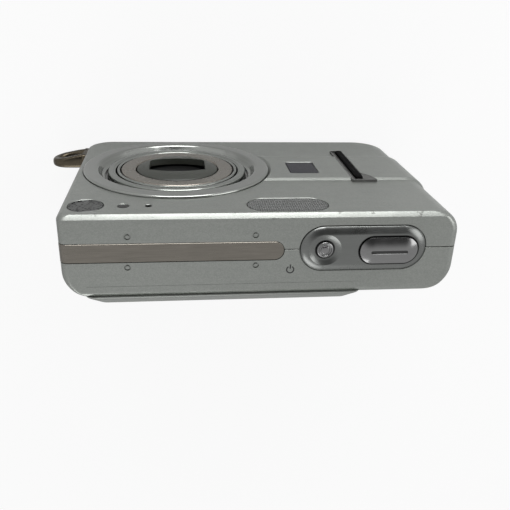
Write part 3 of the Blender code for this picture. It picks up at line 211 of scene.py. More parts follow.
def softened(profile, size=0.12, steps=3):
    """A profile with each corner that isn't on the axis rounded off."""
    result = []
    count = len(profile)
    for i, point in enumerate(profile):
        before, here, after = (Vector(profile[i - 1]), Vector(point), Vector(profile[(i + 1) % count]))
        a, b = before - here, after - here
        reach = min(size, a.length / 2.2, b.length / 2.2)
        if here.x < 1e-6 or reach < 1e-4 or a.angle(b) > math.radians(172):
            result.append(tuple(here))
            continue
        start, end = here + a.normalized() * reach, here + b.normalized() * reach
        for k in range(steps + 1):
            t = k / steps
            result.append(tuple(start * (1 - t) ** 2 + here * 2 * t * (1 - t) + end * t * t))
    return result


def apply_modifiers(obj):
    graph = bpy.context.evaluated_depsgraph_get()
    mesh = bpy.data.meshes.new_from_object(obj.evaluated_get(graph))
    old = obj.data
    obj.modifiers.clear()
    obj.data = mesh
    bpy.data.meshes.remove(old)


def boolean(obj, others, operation):
    for other in others:
        modifier = obj.modifiers.new(other.name, "BOOLEAN")
        modifier.operation = operation
        modifier.solver = "EXACT"
        modifier.object = other
    bpy.context.view_layer.update()
    apply_modifiers(obj)
    for other in others:
        bpy.data.objects.remove(other, do_unlink=True)
    return obj


def cut(obj, *cutters):
    return boolean(obj, cutters, "DIFFERENCE")


def add(obj, *others):
    return boolean(obj, others, "UNION")


def join(obj, *others):
    """Put other meshes into this object as they are."""
    bm = bmesh.new()
    bm.from_mesh(obj.data)
    for other in others:
        bm.from_mesh(other.data)
        bpy.data.objects.remove(other, do_unlink=True)
    bm.to_mesh(obj.data)
    bm.free()
    return obj


def opening(name, axis, outline, surface, deep, lip=LIP):
    """A cutter for a hole with a chamfered rim. outline takes the amount that it is grown by."""
    away = 1 if surface > deep else -1
    levels = [(outline(0.0), deep), (outline(0.0), surface - away * lip), (outline(lip), surface),
              (outline(lip + 0.6), surface + away * 0.6)]
    return tapered(name, axis, levels)


# --- Materials ---
class Nodes:
    """A node tree, with its nodes added one line at a time."""

    def __init__(self, tree):
        self.tree = tree

    def feed(self, socket, value):
        if isinstance(value, bpy.types.NodeSocket):
            self.tree.links.new(value, socket)
        else:
            socket.default_value = value

    def add(self, kind, inputs=(), **settings):
        node = self.tree.nodes.new(kind)
        for key, value in settings.items():
            setattr(node, key, value)
        for key, value in dict(inputs).items():
            self.feed(node.inputs[key], value)
        return node

    def maths(self, operation, a, b=0.5):
        return self.add("ShaderNodeMath", {0: a, 1: b}, operation=operation).outputs["Value"]

    def between(self, value, low, high, to_low=0.0, to_high=1.0, **settings):
        inputs = {"Value": value, "From Min": low, "From Max": high, "To Min": to_low, "To Max": to_high}
        return self.add("ShaderNodeMapRange", inputs, **settings).outputs["Result"]

    def seen(self):
        """1 for a ray that comes from the camera, straight or through glass."""
        ray = self.add("ShaderNodeLightPath")
        return self.maths("MAXIMUM", ray.outputs["Is Camera Ray"], ray.outputs["Is Transmission Ray"])


class Tree(Nodes):
    """A material's nodes, placed by the object's own coordinates."""

    def __init__(self, name):
        self.material = bpy.data.materials.new(name)
        self.material.use_nodes = True
        super().__init__(self.material.node_tree)
        self.shader = self.tree.nodes["Principled BSDF"]
        self.position = self.add("ShaderNodeTexCoord").outputs["Object"]

    def stretched(self, scale=(1, 1, 1)):
        return self.add("ShaderNodeMapping", {"Vector": self.position, "Scale": scale}).outputs["Vector"]

    def noise(self, scale, detail=3.0, stretch=(1, 1, 1), roughness=0.6):
        inputs = {"Vector": self.stretched(stretch), "Scale": scale, "Detail": detail, "Roughness": roughness}
        return self.add("ShaderNodeTexNoise", inputs).outputs["Fac"]

    def cells(self, scale, output="Distance"):
        inputs = {"Vector": self.stretched(), "Scale": scale}
        return self.add("ShaderNodeTexVoronoi", inputs).outputs[output]

    def bands(self, scale, distortion, direction):
        inputs = {"Vector": self.stretched(), "Scale": scale, "Distortion": distortion}
        wave = self.add("ShaderNodeTexWave", inputs, wave_type="BANDS", bands_direction=direction)
        return wave.outputs["Fac"]

    def varied(self, scale, low, high, detail=5.0):
        """A value that noise moves between two limits."""
        return self.between(self.noise(scale, detail), 0.3, 0.7, low, high)

    def blend(self, a, b, share):
        """A weighted mean of two values, where share is the first one's part."""
        return self.maths("ADD", self.maths("MULTIPLY", a, share), self.maths("MULTIPLY", b, 1 - share))

    def mix(self, factor, a, b):
        node = self.add("ShaderNodeMix", data_type="RGBA")
        sockets = [s for s in node.inputs if s.type == "RGBA"]
        for socket, value in zip(sockets, (a, b)):
            self.feed(socket, value if isinstance(value, bpy.types.NodeSocket) else (*value, 1.0))
        self.feed(node.inputs[0], factor)
        return next(s for s in node.outputs if s.type == "RGBA")

    def bump(self, height, distance, after=None):
        inputs = {"Height": height, "Distance": distance, "Strength": 1.0}
        if after is not None:
            inputs["Normal"] = after
        return self.add("ShaderNodeBump", inputs).outputs["Normal"]

    def set(self, **values):
        for key, value in values.items():
            self.feed(self.shader.inputs[key.replace("_", " ")], value)
        return self.material


def shade(colour, factor):
    return tuple(min(c * factor, 1.0) for c in colour)


def finish(name, colour, metallic, roughness, grain=900.0, depth=0.000004, tint=0.08, stretch=(1, 1, 1),
           **extra):
    """A surface with a fine grain, slight changes of colour and changes of gloss from handling."""
    t = Tree(name)
    fine = t.noise(grain, 4.0, stretch)
    both = t.blend(fine, t.noise(70.0), 0.6)
    base = t.mix(t.between(both, 0.35, 0.65), shade(colour, 1 - tint), shade(colour, 1 + tint))
    rough = t.varied(160.0, max(roughness - HANDLING, 0.02), roughness + HANDLING)
    return t.set(Base_Color=base, Metallic=metallic, Roughness=rough, Normal=t.bump(fine, depth), **extra)


def silver_paint():
    """Silver paint over plastic: fine metal flakes, faint orange peel, and chips along the front top edge."""
    t = Tree("silver_paint")
    flakes = t.cells(5200.0, "Color")
    flake = t.add("ShaderNodeSeparateColor", {"Color": flakes}).outputs["Red"]
    broad = t.noise(45.0, 4.0)
    streaks = t.noise(900.0, 3.0, (0.12, 1, 1))
    light = t.maths("ADD", t.maths("MULTIPLY", flake, 0.45),
                    t.maths("MULTIPLY", t.maths("ADD", broad, streaks), 0.28))
    base = t.mix(t.between(light, 0.2, 0.8), (0.205, 0.216, 0.203), (0.262, 0.272, 0.256))
    here = t.add("ShaderNodeSeparateXYZ", {"Vector": t.position})
    from_front = t.maths("SUBTRACT", here.outputs["Y"], FRONT * MM)
    from_top = t.maths("SUBTRACT", BODY_H * MM, here.outputs["Z"])
    squares = t.maths("ADD", t.maths("POWER", from_front, 2.0), t.maths("POWER", from_top, 2.0))
    from_edge = t.maths("SQRT", squares)
    chips = t.maths("MULTIPLY", t.between(from_edge, 0.0003, 0.0021, 1.0, 0.0),
                    t.between(t.noise(330.0, 5.0, roughness=0.7), 0.62, 0.66))
    scratches = t.maths("MULTIPLY", t.between(from_edge, 0.001, 0.009, 0.5, 0.0),
                        t.between(t.noise(420.0, 4.0, (0.25, 1, 1.0), 0.75), 0.70, 0.73))
    worn = t.maths("MINIMUM", t.maths("ADD", chips, scratches), 1.0)
    colour = t.mix(worn, base, (0.075, 0.075, 0.07))
    peel = t.bump(t.noise(1500.0, 2.0), 0.0000022)
    return t.set(Base_Color=colour, Metallic=0.8, Roughness=t.varied(190.0, 0.33, 0.40),
                 Normal=t.bump(flake, 0.0000016, after=peel))


def brushed(name, colour, roughness, stretch, depth=0.000006, tint=0.12):
    return finish(name, colour, 1.0, roughness, grain=2600.0, depth=depth, tint=tint, stretch=stretch)


def spun(name, colour, roughness):
    """Metal turned on a lathe: fine rings about the lens axis."""
    t = Tree(name)
    centre = (LENS[0] * MM, FRONT * MM, LENS[1] * MM)
    moved = t.add("ShaderNodeMapping", {"Vector": t.position, "Location": tuple(-c for c in centre)})
    inputs = {"Vector": moved.outputs["Vector"], "Scale": 700.0, "Distortion": 1.5, "Detail": 2.0}
    rings = t.add("ShaderNodeTexWave", inputs, wave_type="RINGS", rings_direction="Y").outputs["Fac"]
    both = t.blend(rings, t.noise(1500.0, 4.0), 0.5)
    base = t.mix(both, shade(colour, 0.93), shade(colour, 1.07))
    rough = t.varied(220.0, roughness - 0.05, roughness + 0.05)
    return t.set(Base_Color=base, Metallic=1.0, Roughness=rough, Normal=t.bump(both, 0.0000018))


def ribbed_glass():
    """The flash window: clear plastic with fine ribs both ways, its colour painted darker and lighter along
    the ribs as painted shade and highlight.
    """
    t = Tree("flash_lens")
    both = t.blend(t.bands(190.0, 0.4, "Z"), t.bands(620.0, 0.6, "X"), 0.25)
    # Colour runs from near black to grey along the ribs: painted shade and highlight of the ribs.
    base = t.mix(both, (0.015, 0.016, 0.015), (0.20, 0.206, 0.20))
    return t.set(Base_Color=base, Roughness=t.varied(700.0, 0.10, 0.2, 3.0), Transmission_Weight=0.4, IOR=1.4,
                 Normal=t.bump(both, 0.00016))


def mesh_grille():
    """Fine woven metal: the holes between wires are painted near black, for the dark speaker behind and
    painted shade in the holes.
    """
    t = Tree("speaker_mesh")
    hole = t.between(t.cells(1500.0), 0.28, 0.46, 1.0, 0.0)
    # Holes painted near black: the dark speaker behind, with painted shade in the holes.
    base = t.mix(hole, (0.10, 0.103, 0.10), (0.003, 0.003, 0.003))
    return t.set(Base_Color=base, Metallic=0.85, Roughness=t.varied(900.0, 0.3, 0.45, 3.0),
                 Normal=t.bump(hole, -0.00006))


def circuit():
    """A green board with copper tracks and small parts under the solder mask."""
    t = Tree("circuit_board")
    inputs = {"Vector": t.stretched((1, 0.01, 1)), "Scale": 320.0, "Mortar Size": 0.03}
    tracks = t.add("ShaderNodeTexBrick", inputs).outputs["Fac"]
    parts = t.between(t.cells(420.0), 0.16, 0.18, 1.0, 0.0)
    base = t.mix(parts, t.mix(tracks, (0.012, 0.085, 0.035), (0.05, 0.17, 0.07)), (0.03, 0.03, 0.03))
    return t.set(Base_Color=base, Roughness=t.varied(500.0, 0.35, 0.5, 3.0),
                 Normal=t.bump(t.maths("ADD", tracks, parts), 0.00005))


def clear_glass():
    t = Tree("lens_glass")
    tint = (0.9, 0.92, 0.93)
    smudge = t.between(t.noise(260.0, 5.0), 0.45, 0.75, 0.02, 0.09)
    base = t.mix(t.noise(90.0), shade(tint, 0.97), tint)
    return t.set(Base_Color=base, Roughness=smudge, Transmission_Weight=0.9, IOR=1.5,
                 Normal=t.bump(t.noise(800.0), 0.0000005))


def tinted(name, colour, roughness):
    """A dark pane with smudges on it."""
    t = Tree(name)
    smudge = t.between(t.noise(230.0, 5.0), 0.4, 0.75, roughness, roughness + 0.1)
    base = t.mix(t.noise(140.0), shade(colour, 0.85), shade(colour, 1.15))
    return t.set(Base_Color=base, Roughness=smudge, IOR=1.36, Specular_IOR_Level=0.15,
                 Normal=t.bump(t.noise(900.0), 0.0000006))


PAINT = silver_paint()
# Grey steel whose brown tint is a painted reflection of brown surroundings.
STAINLESS = brushed("trim_steel", (0.175, 0.162, 0.142), 0.3, (0.06, 1, 1))
DARK_CHROME = brushed("dark_chrome", (0.20, 0.20, 0.20), 0.2, (0.1, 1, 1), depth=0.000001, tint=0.05)
PANEL_METAL = brushed("panel_metal", (0.155, 0.16, 0.155), 0.3, (0.07, 1, 1), depth=0.000002, tint=0.06)
GRIP_METAL = brushed("grip_surround", (0.17, 0.17, 0.165), 0.42, (0.1, 1, 1), depth=0.000001, tint=0.05)
RING_METAL = spun("ring_metal", (0.30, 0.31, 0.295), 0.16)
BARREL_METAL = spun("barrel_metal", (0.26, 0.272, 0.256), 0.2)
# Grey metal whose warm tint is a painted reflection of brown surroundings.
NAME_METAL = spun("name_ring_metal", (0.24, 0.222, 0.195), 0.26)
CONE_PLASTIC = finish("window_ring_plastic", (0.021, 0.023, 0.018), 0.0, 0.42, grain=1800.0, tint=0.2)
BLADE_METAL = finish("blade_metal", (0.005, 0.005, 0.005), 0.0, 0.35, tint=0.3, Specular_IOR_Level=0.15)
BLACK = finish("black_plastic", (0.012, 0.012, 0.012), 0.0, 0.5, grain=2200.0, depth=0.00001, tint=0.2)
RUBBER = finish("grip_rubber", (0.0025, 0.0025, 0.0025), 0.0, 0.7, grain=3200.0, depth=0.00003, tint=0.25,
                Specular_IOR_Level=0.04)
GREY = finish("grey_plastic", (0.13, 0.13, 0.128), 0.0, 0.45, grain=2000.0, depth=0.000008)
NICKEL = brushed("nickel", (0.33, 0.325, 0.31), 0.24, (0.3, 1, 1), depth=0.000001, tint=0.05)
KEY_METAL = brushed("key_metal", (0.30, 0.30, 0.285), 0.26, (0.3, 1, 1), depth=0.0000012, tint=0.05)
# Polished steel whose dark brown colour is a painted reflection of dark brown surroundings.
LOOP_METAL = brushed("loop_metal", (0.085, 0.072, 0.052), 0.3, (0.3, 1, 0.3), tint=0.25)
LABEL = finish("battery_wrap", (0.045, 0.05, 0.06), 0.0, 0.35, grain=500.0, tint=0.15)
MARKING = finish("marking_ink", (0.012, 0.012, 0.012), 0.0, 0.5, tint=0.2)
MESH = mesh_grille()
FLASH_LENS = ribbed_glass()
BOARD = circuit()
GLASS = clear_glass()
SENSOR_TINT = tinted("sensor_window", (0.008, 0.008, 0.012), 0.12)
SCREEN_TINT = tinted("screen_glass", (0.006, 0.006, 0.008), 0.05)
LAMP_TINT = tinted("lamp_window", (0.028, 0.028, 0.027), 0.25)


# --- Putting a piece in the scene ---
def done(obj, material, body, replaces=(), angle=32.0):
    """Give a piece its surface, soft shading and the body that it rides on."""
    obj.data.materials.clear()
    obj.data.materials.append(material)
    obj.data.shade_smooth()
    obj.data.set_sharp_from_angle(angle=math.radians(angle))
    weighted = obj.modifiers.new("even_shading", "WEIGHTED_NORMAL")
    weighted.keep_sharp = True
    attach(obj, body)
    if replaces:
        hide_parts(*replaces)
    return obj


# --- Body shape ---
def corner_inset(depth, radius):
    if radius <= 0 or depth >= radius:
        return 0.0
    reach = radius - max(depth, 0.0)
    return radius - math.sqrt(max(radius * radius - reach * reach, 0.0))


def bevel_inset(depth, radius):
    """The front edge is nearer to a flat bevel than to an arc."""
    if radius <= 0 or depth >= radius:
        return 0.0
    return 0.15 * corner_inset(depth, radius) + 0.85 * (radius - max(depth, 0.0))


def body_section(y, inset=0.0):
    """The outline of the body in X and Z at one depth."""
    ahead = y - FRONT - inset
    behind = REAR - inset - y
    left = max(corner_inset(ahead, CORNER_FRONT_GRIP - inset), corner_inset(behind, CORNER_REAR_GRIP - inset))
    right = max(corner_inset(ahead, CORNER_FRONT_LENS - inset), corner_inset(behind, CORNER_REAR_LENS - inset))
    edge = max(bevel_inset(ahead, EDGE_FRONT - inset), corner_inset(behind, EDGE_REAR - inset))
    return rounded(LEFT + inset + left, RIGHT - inset - right, inset + edge, BODY_H - inset - edge,
                   BASE_CORNER_R - inset, max(TOP_CORNER_R - inset, 0.3), steps=10)


def depths(y0, y1, inset):
    """Depths between two faces that step evenly round the corners."""
    def steps(radius, count):
        return [radius * (1 - math.cos(math.radians(90 * i / count))) for i in range(count + 1)]
    found = {y0, y1}
    for radius, count in ((EDGE_FRONT, 8), (CORNER_FRONT_LENS, 8), (CORNER_FRONT_GRIP, 14)):
        if radius > inset:
            found |= {FRONT + inset + d for d in steps(radius - inset, count)}
    for radius, count in ((EDGE_REAR, 8), (CORNER_REAR_GRIP, 14)):
        if radius > inset:
            found |= {REAR - inset - d for d in steps(radius - inset, count)}
    kept = [d for d in sorted(found) if y0 - 1e-6 <= d <= y1 + 1e-6]
    spaced = [kept[0]]
    for depth in kept[1:]:
        if depth - spaced[-1] > 0.012 or depth == y1:
            spaced.append(depth)
    return spaced


def ring_at(y, inset=0.0):
    return [(x, y, z) for x, z in body_section(min(max(y, FRONT + inset), REAR - inset), inset)]


def trim_shape(name, grow, top, depth, lip=0.0):
    """The strip over the top and down the lens side. Its upper edges are broken by a small chamfer."""
    corner = (RIGHT - TOP_CORNER_R, BODY_H - TOP_CORNER_R)

    def strip(y_grow, raise_by):
        outer = arc(corner, TOP_CORNER_R + raise_by, 90, 0, 10)
        inner = arc(corner, TOP_CORNER_R - depth, 0, 90, 10)
        foot = TRIM_FOOT_Z - y_grow
        start = TRIM_END_X + 2
        return ([(start, BODY_H + raise_by)] + outer + [(RIGHT + raise_by, foot), (RIGHT - depth, foot)]
                + inner + [(start, BODY_H - depth)])

    y0, y1 = TRIM_Y[0] - grow, TRIM_Y[1] + grow
    full, broken = strip(grow, top), strip(grow - lip, top - lip)
    levels = [(full, y0), (full, y1)]
    end_levels = [(0.0, BODY_H - depth), (0.0, BODY_H + top - lip)]
    if lip:
        levels = [(broken, y0), (full, y0 + lip), (full, y1 - lip), (broken, y1)]
        end_levels.append((-lip, BODY_H + top))
    centre, size = (TRIM_END_X + TRIM_END_LONG / 2 - grow, (y0 + y1) / 2), (TRIM_END_LONG, y1 - y0)
    end = layered(name + "_end", "Z", lambda g: obround(centre, size, g), end_levels)
    return add(tapered(name, "Y", levels), end)


def top_cutters():
    """The seat of the control panel and the shafts of its two buttons."""
    seat = opening("cut_panel_seat", "Z", lambda g: obround(PANEL, PANEL_SIZE, PANEL_GAP + g, 24), BODY_H,
                   BODY_H - 0.5, 0.06)
    power = disc("cut_power_shaft", "Z", POWER, POWER_R + 0.35, TOP_INNER - 1, BODY_H + 3)
    shutter = prism("cut_shutter_shaft", "Z", obround(SHUTTER, SHUTTER_SIZE, 0.35), TOP_INNER - 1, BODY_H + 3)
    return seat, power, shutter


def door_cutter():
    """The battery opening in the base, with notches for the hinge."""
    x0, x1 = DOOR_X[0] - DOOR_GAP, DOOR_X[1] + DOOR_GAP
    through = (-2, WALL + 1)
    main = box("cut_door", (x0, x1), (DOOR_Y[0] - DOOR_GAP, DOOR_Y[1] + DOOR_GAP), through)
    reaches = (((x0, KNUCKLE_X[0]), 1.2), ((KNUCKLE_X[1], x1), 1.2),
               ((KNUCKLE_X[0] - 0.05, KNUCKLE_X[1] + 0.05), 0.0))
    notches = [box(f"cut_knuckle_{i}", x, (DOOR_Y[1] - 0.1, HINGE[0] + reach), through)
               for i, (x, reach) in enumerate(reaches)]
    return add(main, *notches)


def ring_marks(y, places):
    """Cutters for shallow moulded rings on the top."""
    profile = above(BODY_H, [(0.4, -0.3), (0.7, -0.3), (0.73, 0.1), (0.37, 0.1)])
    return [turned(f"mark_{i}", "Z", (x, y), profile, 40) for i, x in enumerate(places)]


def raised_band():
    """The raised band on the grip side, with sloping edges, wrapped round the grip edge."""
    def outline(raise_by):
        centre = (LEFT + CORNER_FRONT_GRIP, FRONT + CORNER_FRONT_GRIP)
        turn = arc(centre, CORNER_FRONT_GRIP + raise_by, 180, 270, 24)
        return turn + [(LENS[0], FRONT - raise_by), (LENS[0], FRONT + 0.6), (LEFT + 6, FRONT + 0.6),
                       (LEFT + 0.6, FRONT + CORNER_FRONT_GRIP)]
    low, high = BAND_Z
    return layered("band_shape", "Z", outline, [
        (-0.03, low - 2.7), (0.05, low - 2.2), (BAND_RAISE - 0.06, low - 0.3), (BAND_RAISE, low + 0.2),
        (BAND_RAISE, high - 0.15), (BAND_RAISE - 0.05, high + 0.05), (0.03, high + 0.78), (-0.03, high + 0.9)])


def front_cover():
    end = SEAM_Y - SEAM_HALF
    inner = FRONT_INNER + 1
    rings = [ring_at(y) for y in depths(FRONT, end - SEAM_LIP, 0.0)]
    shell = loft("front_shell", rings + [ring_at(end, SEAM_LIP)])
    add(shell, raised_band())
    cut(shell, loft("cut_front_cavity", [ring_at(y, WALL) for y in depths(FRONT_INNER, SEAM_Y + 2, WALL)]))
    pad = box("grip_pad", (GRIP_X[0] - 4.0, GRIP_X[1] + 2.3), (FRONT + 0.55, FRONT_INNER + 0.8),
              (GRIP_Z[0] - 1.5, GRIP_Z[1] + 4.0))
    add(shell, pad)
    profile = above(FRONT, [(0, -3), (RING_R + 0.8, -0.7), (RING_R + 0.2, 0), (RING_R + 0.12, 0.06),
                            (RING_R + 0.12, 0.7), (0, 0.7)])
    seat = turned("cut_ring_seat", "Y", LENS, profile, RING_STEPS)
    hole = disc("cut_ring_hole", "Y", LENS, RING_SEAT_R + 0.3, FRONT - 3, inner, RING_STEPS)
    outlines = {"speaker": lambda g: circle(SPEAKER, SPEAKER_R + PANE_GAP + g),
                "lamp": lambda g: circle(LAMP, LAMP_R + 0.05 + g), "mic": lambda g: circle(MIC, MIC_R + g),
                "flash": lambda g: obround(FLASH, FLASH_SIZE, PANE_GAP + g, 24),
                "sensor": lambda g: about(SENSOR, SENSOR_SIZE, 0.6, PANE_GAP + g)}
    holes = [opening("cut_" + n, "Y", outline, FRONT - (BAND_RAISE if n == "sensor" else 0.0), inner)
             for n, outline in outlines.items()]
    cut(shell, seat, hole, *holes, prism("cut_grip", "Y", grip_outline(0.07), FRONT - 3, GRIP_FLOOR))
    cut(shell, trim_shape("cut_trim_front", 0.14, 0.6, 0.8))
    cut(shell, *top_cutters())
    cut(shell, door_cutter(), box("cut_loop", (RIGHT - 3, RIGHT + 2), (-8.2, -5.0), (5.1, 9.0)))
    cut(shell, *ring_marks(-5.0, (29.5, 2.1)))
    return done(shell, PAINT, "camera_body", ["front_cover"])


def screen_outline(grow=0.0):
    return rounded(SCREEN_X[0] + 3.4 - grow, SCREEN_X[1] - 3.4 + grow, SCREEN_Z[0] + 4.6 - grow,
                   SCREEN_Z[1] - 4.6 + grow, 1.2 + grow, steps=8)


def screen_housing():
    """The raised block round the screen, with sloping sides."""
    def level(spread, radius=3.0):
        return rounded(SCREEN_X[0] - spread, SCREEN_X[1] + spread, SCREEN_Z[0] - spread, SCREEN_Z[1] + spread,
                       radius, steps=12)
    top = REAR + SCREEN_RAISE
    return tapered("screen_housing", "Y", [
        (level(SCREEN_SLOPE + 0.3), REAR - WALL / 2), (level(SCREEN_SLOPE), REAR), (level(0.14), top - 0.14),
        (level(0.05), top - 0.05), (level(-0.08), top - 0.01), (level(-0.3, 2.8), top)])


def screw_well(side):
    """A stepped hole for a case screw, on the lens side for 1 and on the grip side for -1."""
    edge = side * RIGHT
    steps = ((0, -1), (1.75, -1), (1.75, 0), (1.6, 0.15), (1.6, 0.75), (0.85, 0.75), (0.85, 2.2), (0, 2.2))
    profile = [(radius, edge - side * deep) for radius, deep in steps]
    return turned(f"cut_screw_{side}", "X", SCREW, profile, 40)


def rear_cover():
    start = SEAM_Y + SEAM_HALF
    inner = REAR_INNER - 1
    rings = [ring_at(y) for y in depths(start + SEAM_LIP, REAR, 0.0)]
    shell = loft("rear_shell", [ring_at(start, SEAM_LIP)] + rings)
    add(shell, screen_housing())
    cut(shell, loft("cut_rear_cavity", [ring_at(y, WALL) for y in depths(SEAM_Y - 2, REAR_INNER, WALL)]))
    window = opening("cut_screen", "Y", lambda g: screen_outline(0.1 + g), REAR + SCREEN_RAISE, inner, 0.25)
    holes = [opening(f"cut_{n}", "Y", lambda g, p=p: circle(p, SMALL_KEY_R + 0.15 + g), REAR, inner, 0.12)
             for n, p in SMALL_KEYS.items()]
    rocker = opening("cut_rocker", "Y", lambda g: obround(ROCKER, ROCKER_SIZE, 0.2 + g), REAR, inner, 0.12)
    pad = opening("cut_pad", "Y", lambda g: circle(PAD, PAD_R + 0.2 + g, 96), REAR, inner, 0.15)
    cut(shell, window, *holes, rocker, pad)
    cut(shell, trim_shape("cut_trim_rear", 0.14, 0.6, 0.8))
    cut(shell, *top_cutters())
    cut(shell, door_cutter())
    web = box("knuckle_web", (KNUCKLE_X[0] + 0.2, KNUCKLE_X[1] - 0.2), (HINGE[0] - 0.1, HINGE[0] + 2.0),
              (0.2, 2.0))
    knuckle = disc("middle_knuckle", "X", HINGE, 0.85, KNUCKLE_X[0] + 0.1, KNUCKLE_X[1] - 0.1, 40)
    add(shell, web, knuckle)
    dock = box("cut_dock", (DOCK_X[0] - DOCK_GAP, DOCK_X[1] + DOCK_GAP),
               (DOCK_Y[0] - DOCK_GAP, DOCK_Y[1] + DOCK_GAP), (-2, WALL + 1))
    cut(shell, disc("cut_pin", "X", HINGE, 0.6, DOOR_X[0] - 0.3, DOOR_X[1] + 0.3, 32),
        disc("cut_bush", "Z", BUSH, 4.35, -2, WALL + 1), dock, screw_well(1), screw_well(-1))
    crease_y = REAR - 3.1
    crease = box("cut_crease", (SCREEN_X[0] - 1.0, SCREEN_X[1] + 1.2), (crease_y - 0.05, crease_y + 0.05),
                 (BODY_H - 0.04, BODY_H + 0.5))
    cut(shell, crease, *ring_marks(2.2, (29.8, 1.9)))
    return done(shell, PAINT, "camera_body", ["rear_cover"])


# --- Lens ---
def lens_part(name, profile, size, material, body, node):
    part = turned(name, "Y", LENS, softened(profile, size), RING_STEPS)
    return done(part, material, body, [node], 38)


def lens():
    crest = FRONT - 0.65
    profile = [(RING_R, FRONT + 0.4), (RING_R, FRONT - 0.25), (RING_R - 0.1, FRONT - 0.42),
               (RING_R - 0.35, crest + 0.05), (RING_R - 0.75, crest), (20.5, crest), (20.1, crest + 0.06),
               (19.8, crest + 0.3), (19.0, FRONT + 0.95), (RING_BORE_R, FRONT + 1.2), (RING_BORE_R, RING_BACK),
               (RING_SEAT_R, RING_BACK), (RING_SEAT_R, FRONT + 0.4)]
    lens_part("bezel_ring", profile, 0.14, RING_METAL, "camera_body", "lens_bezel_ring")
    bore, radius = OUTER_BARREL
    profile = [(bore, BARREL_BACK), (radius, BARREL_BACK)] + above(FRONT, [
        (radius, 0.3), (radius - 0.2, 0.06), (radius - 0.5, 0), (bore + 0.6, 0), (bore + 0.45, 0.14),
        (bore + 0.2, 0.16), (bore, 0.3)])
    outer = turned("outer_barrel", "Y", LENS, softened(profile, 0.08), RING_STEPS)
    groove = [(radius - 0.15, -0.12), (radius + 0.5, -0.2), (radius + 0.5, 0.2), (radius - 0.15, 0.12)]
    cut(outer, *[turned(f"cut_groove_{i}", "Y", LENS, above(y, groove), RING_STEPS)
                 for i, y in enumerate((FRONT + 4.0, FRONT + 7.6))])
    done(outer, BARREL_METAL, "barrel_outer", ["lens_barrel_outer"], 38)
    bore, radius = INNER_BARREL
    profile = [(bore, BARREL_BACK - 0.3), (radius, BARREL_BACK - 0.3)] + above(FRONT, [
        (radius, 0.25), (radius - 0.15, 0), (bore + 0.15, 0), (bore, 0.2)])
    lens_part("inner_barrel", profile, 0.08, BARREL_METAL, "barrel_inner", "lens_barrel_inner")
    bore, radius = NAME_RING
    profile = [(bore, NAME_BACK), (radius, NAME_BACK)] + above(FRONT, [
        (radius, 0.2), (radius - 0.15, 0.02), (radius - 0.5, 0), (bore + 0.5, 0.02), (bore + 0.22, 0.06),
        (bore, 0.25)])
    lens_part("front_ring", profile, 0.06, NAME_METAL, "barrel_inner", "lens_name_ring")
    window_ring()
    blade("upper_blade", "blade_upper", "barrier_blade_upper", 1)
    blade("lower_blade", "blade_lower", "barrier_blade_lower", -1)


def window_outline(grow=0.0):
    """The lens opening: flat sides, and curved top and bottom."""
    half_w, side, rise = 7.04 + grow, 3.85 + grow, 2.0
    radius = (half_w * half_w + rise * rise) / (2 * rise)
    spread = math.degrees(math.asin(half_w / radius))
    top = arc((LENS[0], LENS[1] + side + rise - radius), radius, 90 - spread, 90 + spread, 28)
    base = arc((LENS[0], LENS[1] - side - rise + radius), radius, 270 - spread, 270 + spread, 28)
    return top + base


def window_ring():
    """The dark cone round the lens opening."""
    crest = FRONT - 0.93
    profile = [(0, NAME_BACK), (WINDOW_RING_R, NAME_BACK)] + above(FRONT, [
        (WINDOW_RING_R, 0.14), (WINDOW_RING_R - 0.12, 0.02), (9.8, -0.16), (9.2, -0.40), (8.5, -0.64),
        (7.7, -0.83)]) + [(6.6, crest), (0, crest)]
    ring = turned("window_ring", "Y", LENS, profile, RING_STEPS)
    cut(ring, opening("cut_window", "Y", window_outline, crest + 0.02, NAME_BACK + 1, 0.1))
    done(ring, CONE_PLASTIC, "barrel_inner", ["lens_window_ring"], 30)


def blade(name, body, node, side):
    """A barrier blade with a straight inner edge and a round outer one. side is 1 above the lens axis."""
    y = NAME_BACK + 0.3
    low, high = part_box(node)
    half_w = (high.x / MM - low.x / MM) / 2
    radius, tip = 9.0, 5.3

    def outline(shrink):
        half = half_w - shrink
        near = LENS[1] + side * (0.06 + shrink)
        edge = arc((0.0, tip - radius), radius - shrink, 50, 130, 20)
        return [(LENS[0] - half, near), (LENS[0] + half, near)] + [
            (LENS[0] + min(max(x, -half), half), LENS[1] + side * z) for x, z in edge]
    plate = layered(name, "Y", outline, [(0.12, y), (0.0, y + 0.12), (0.0, y + 0.5)])
    done(plate, BLADE_METAL, body, [node], 25)


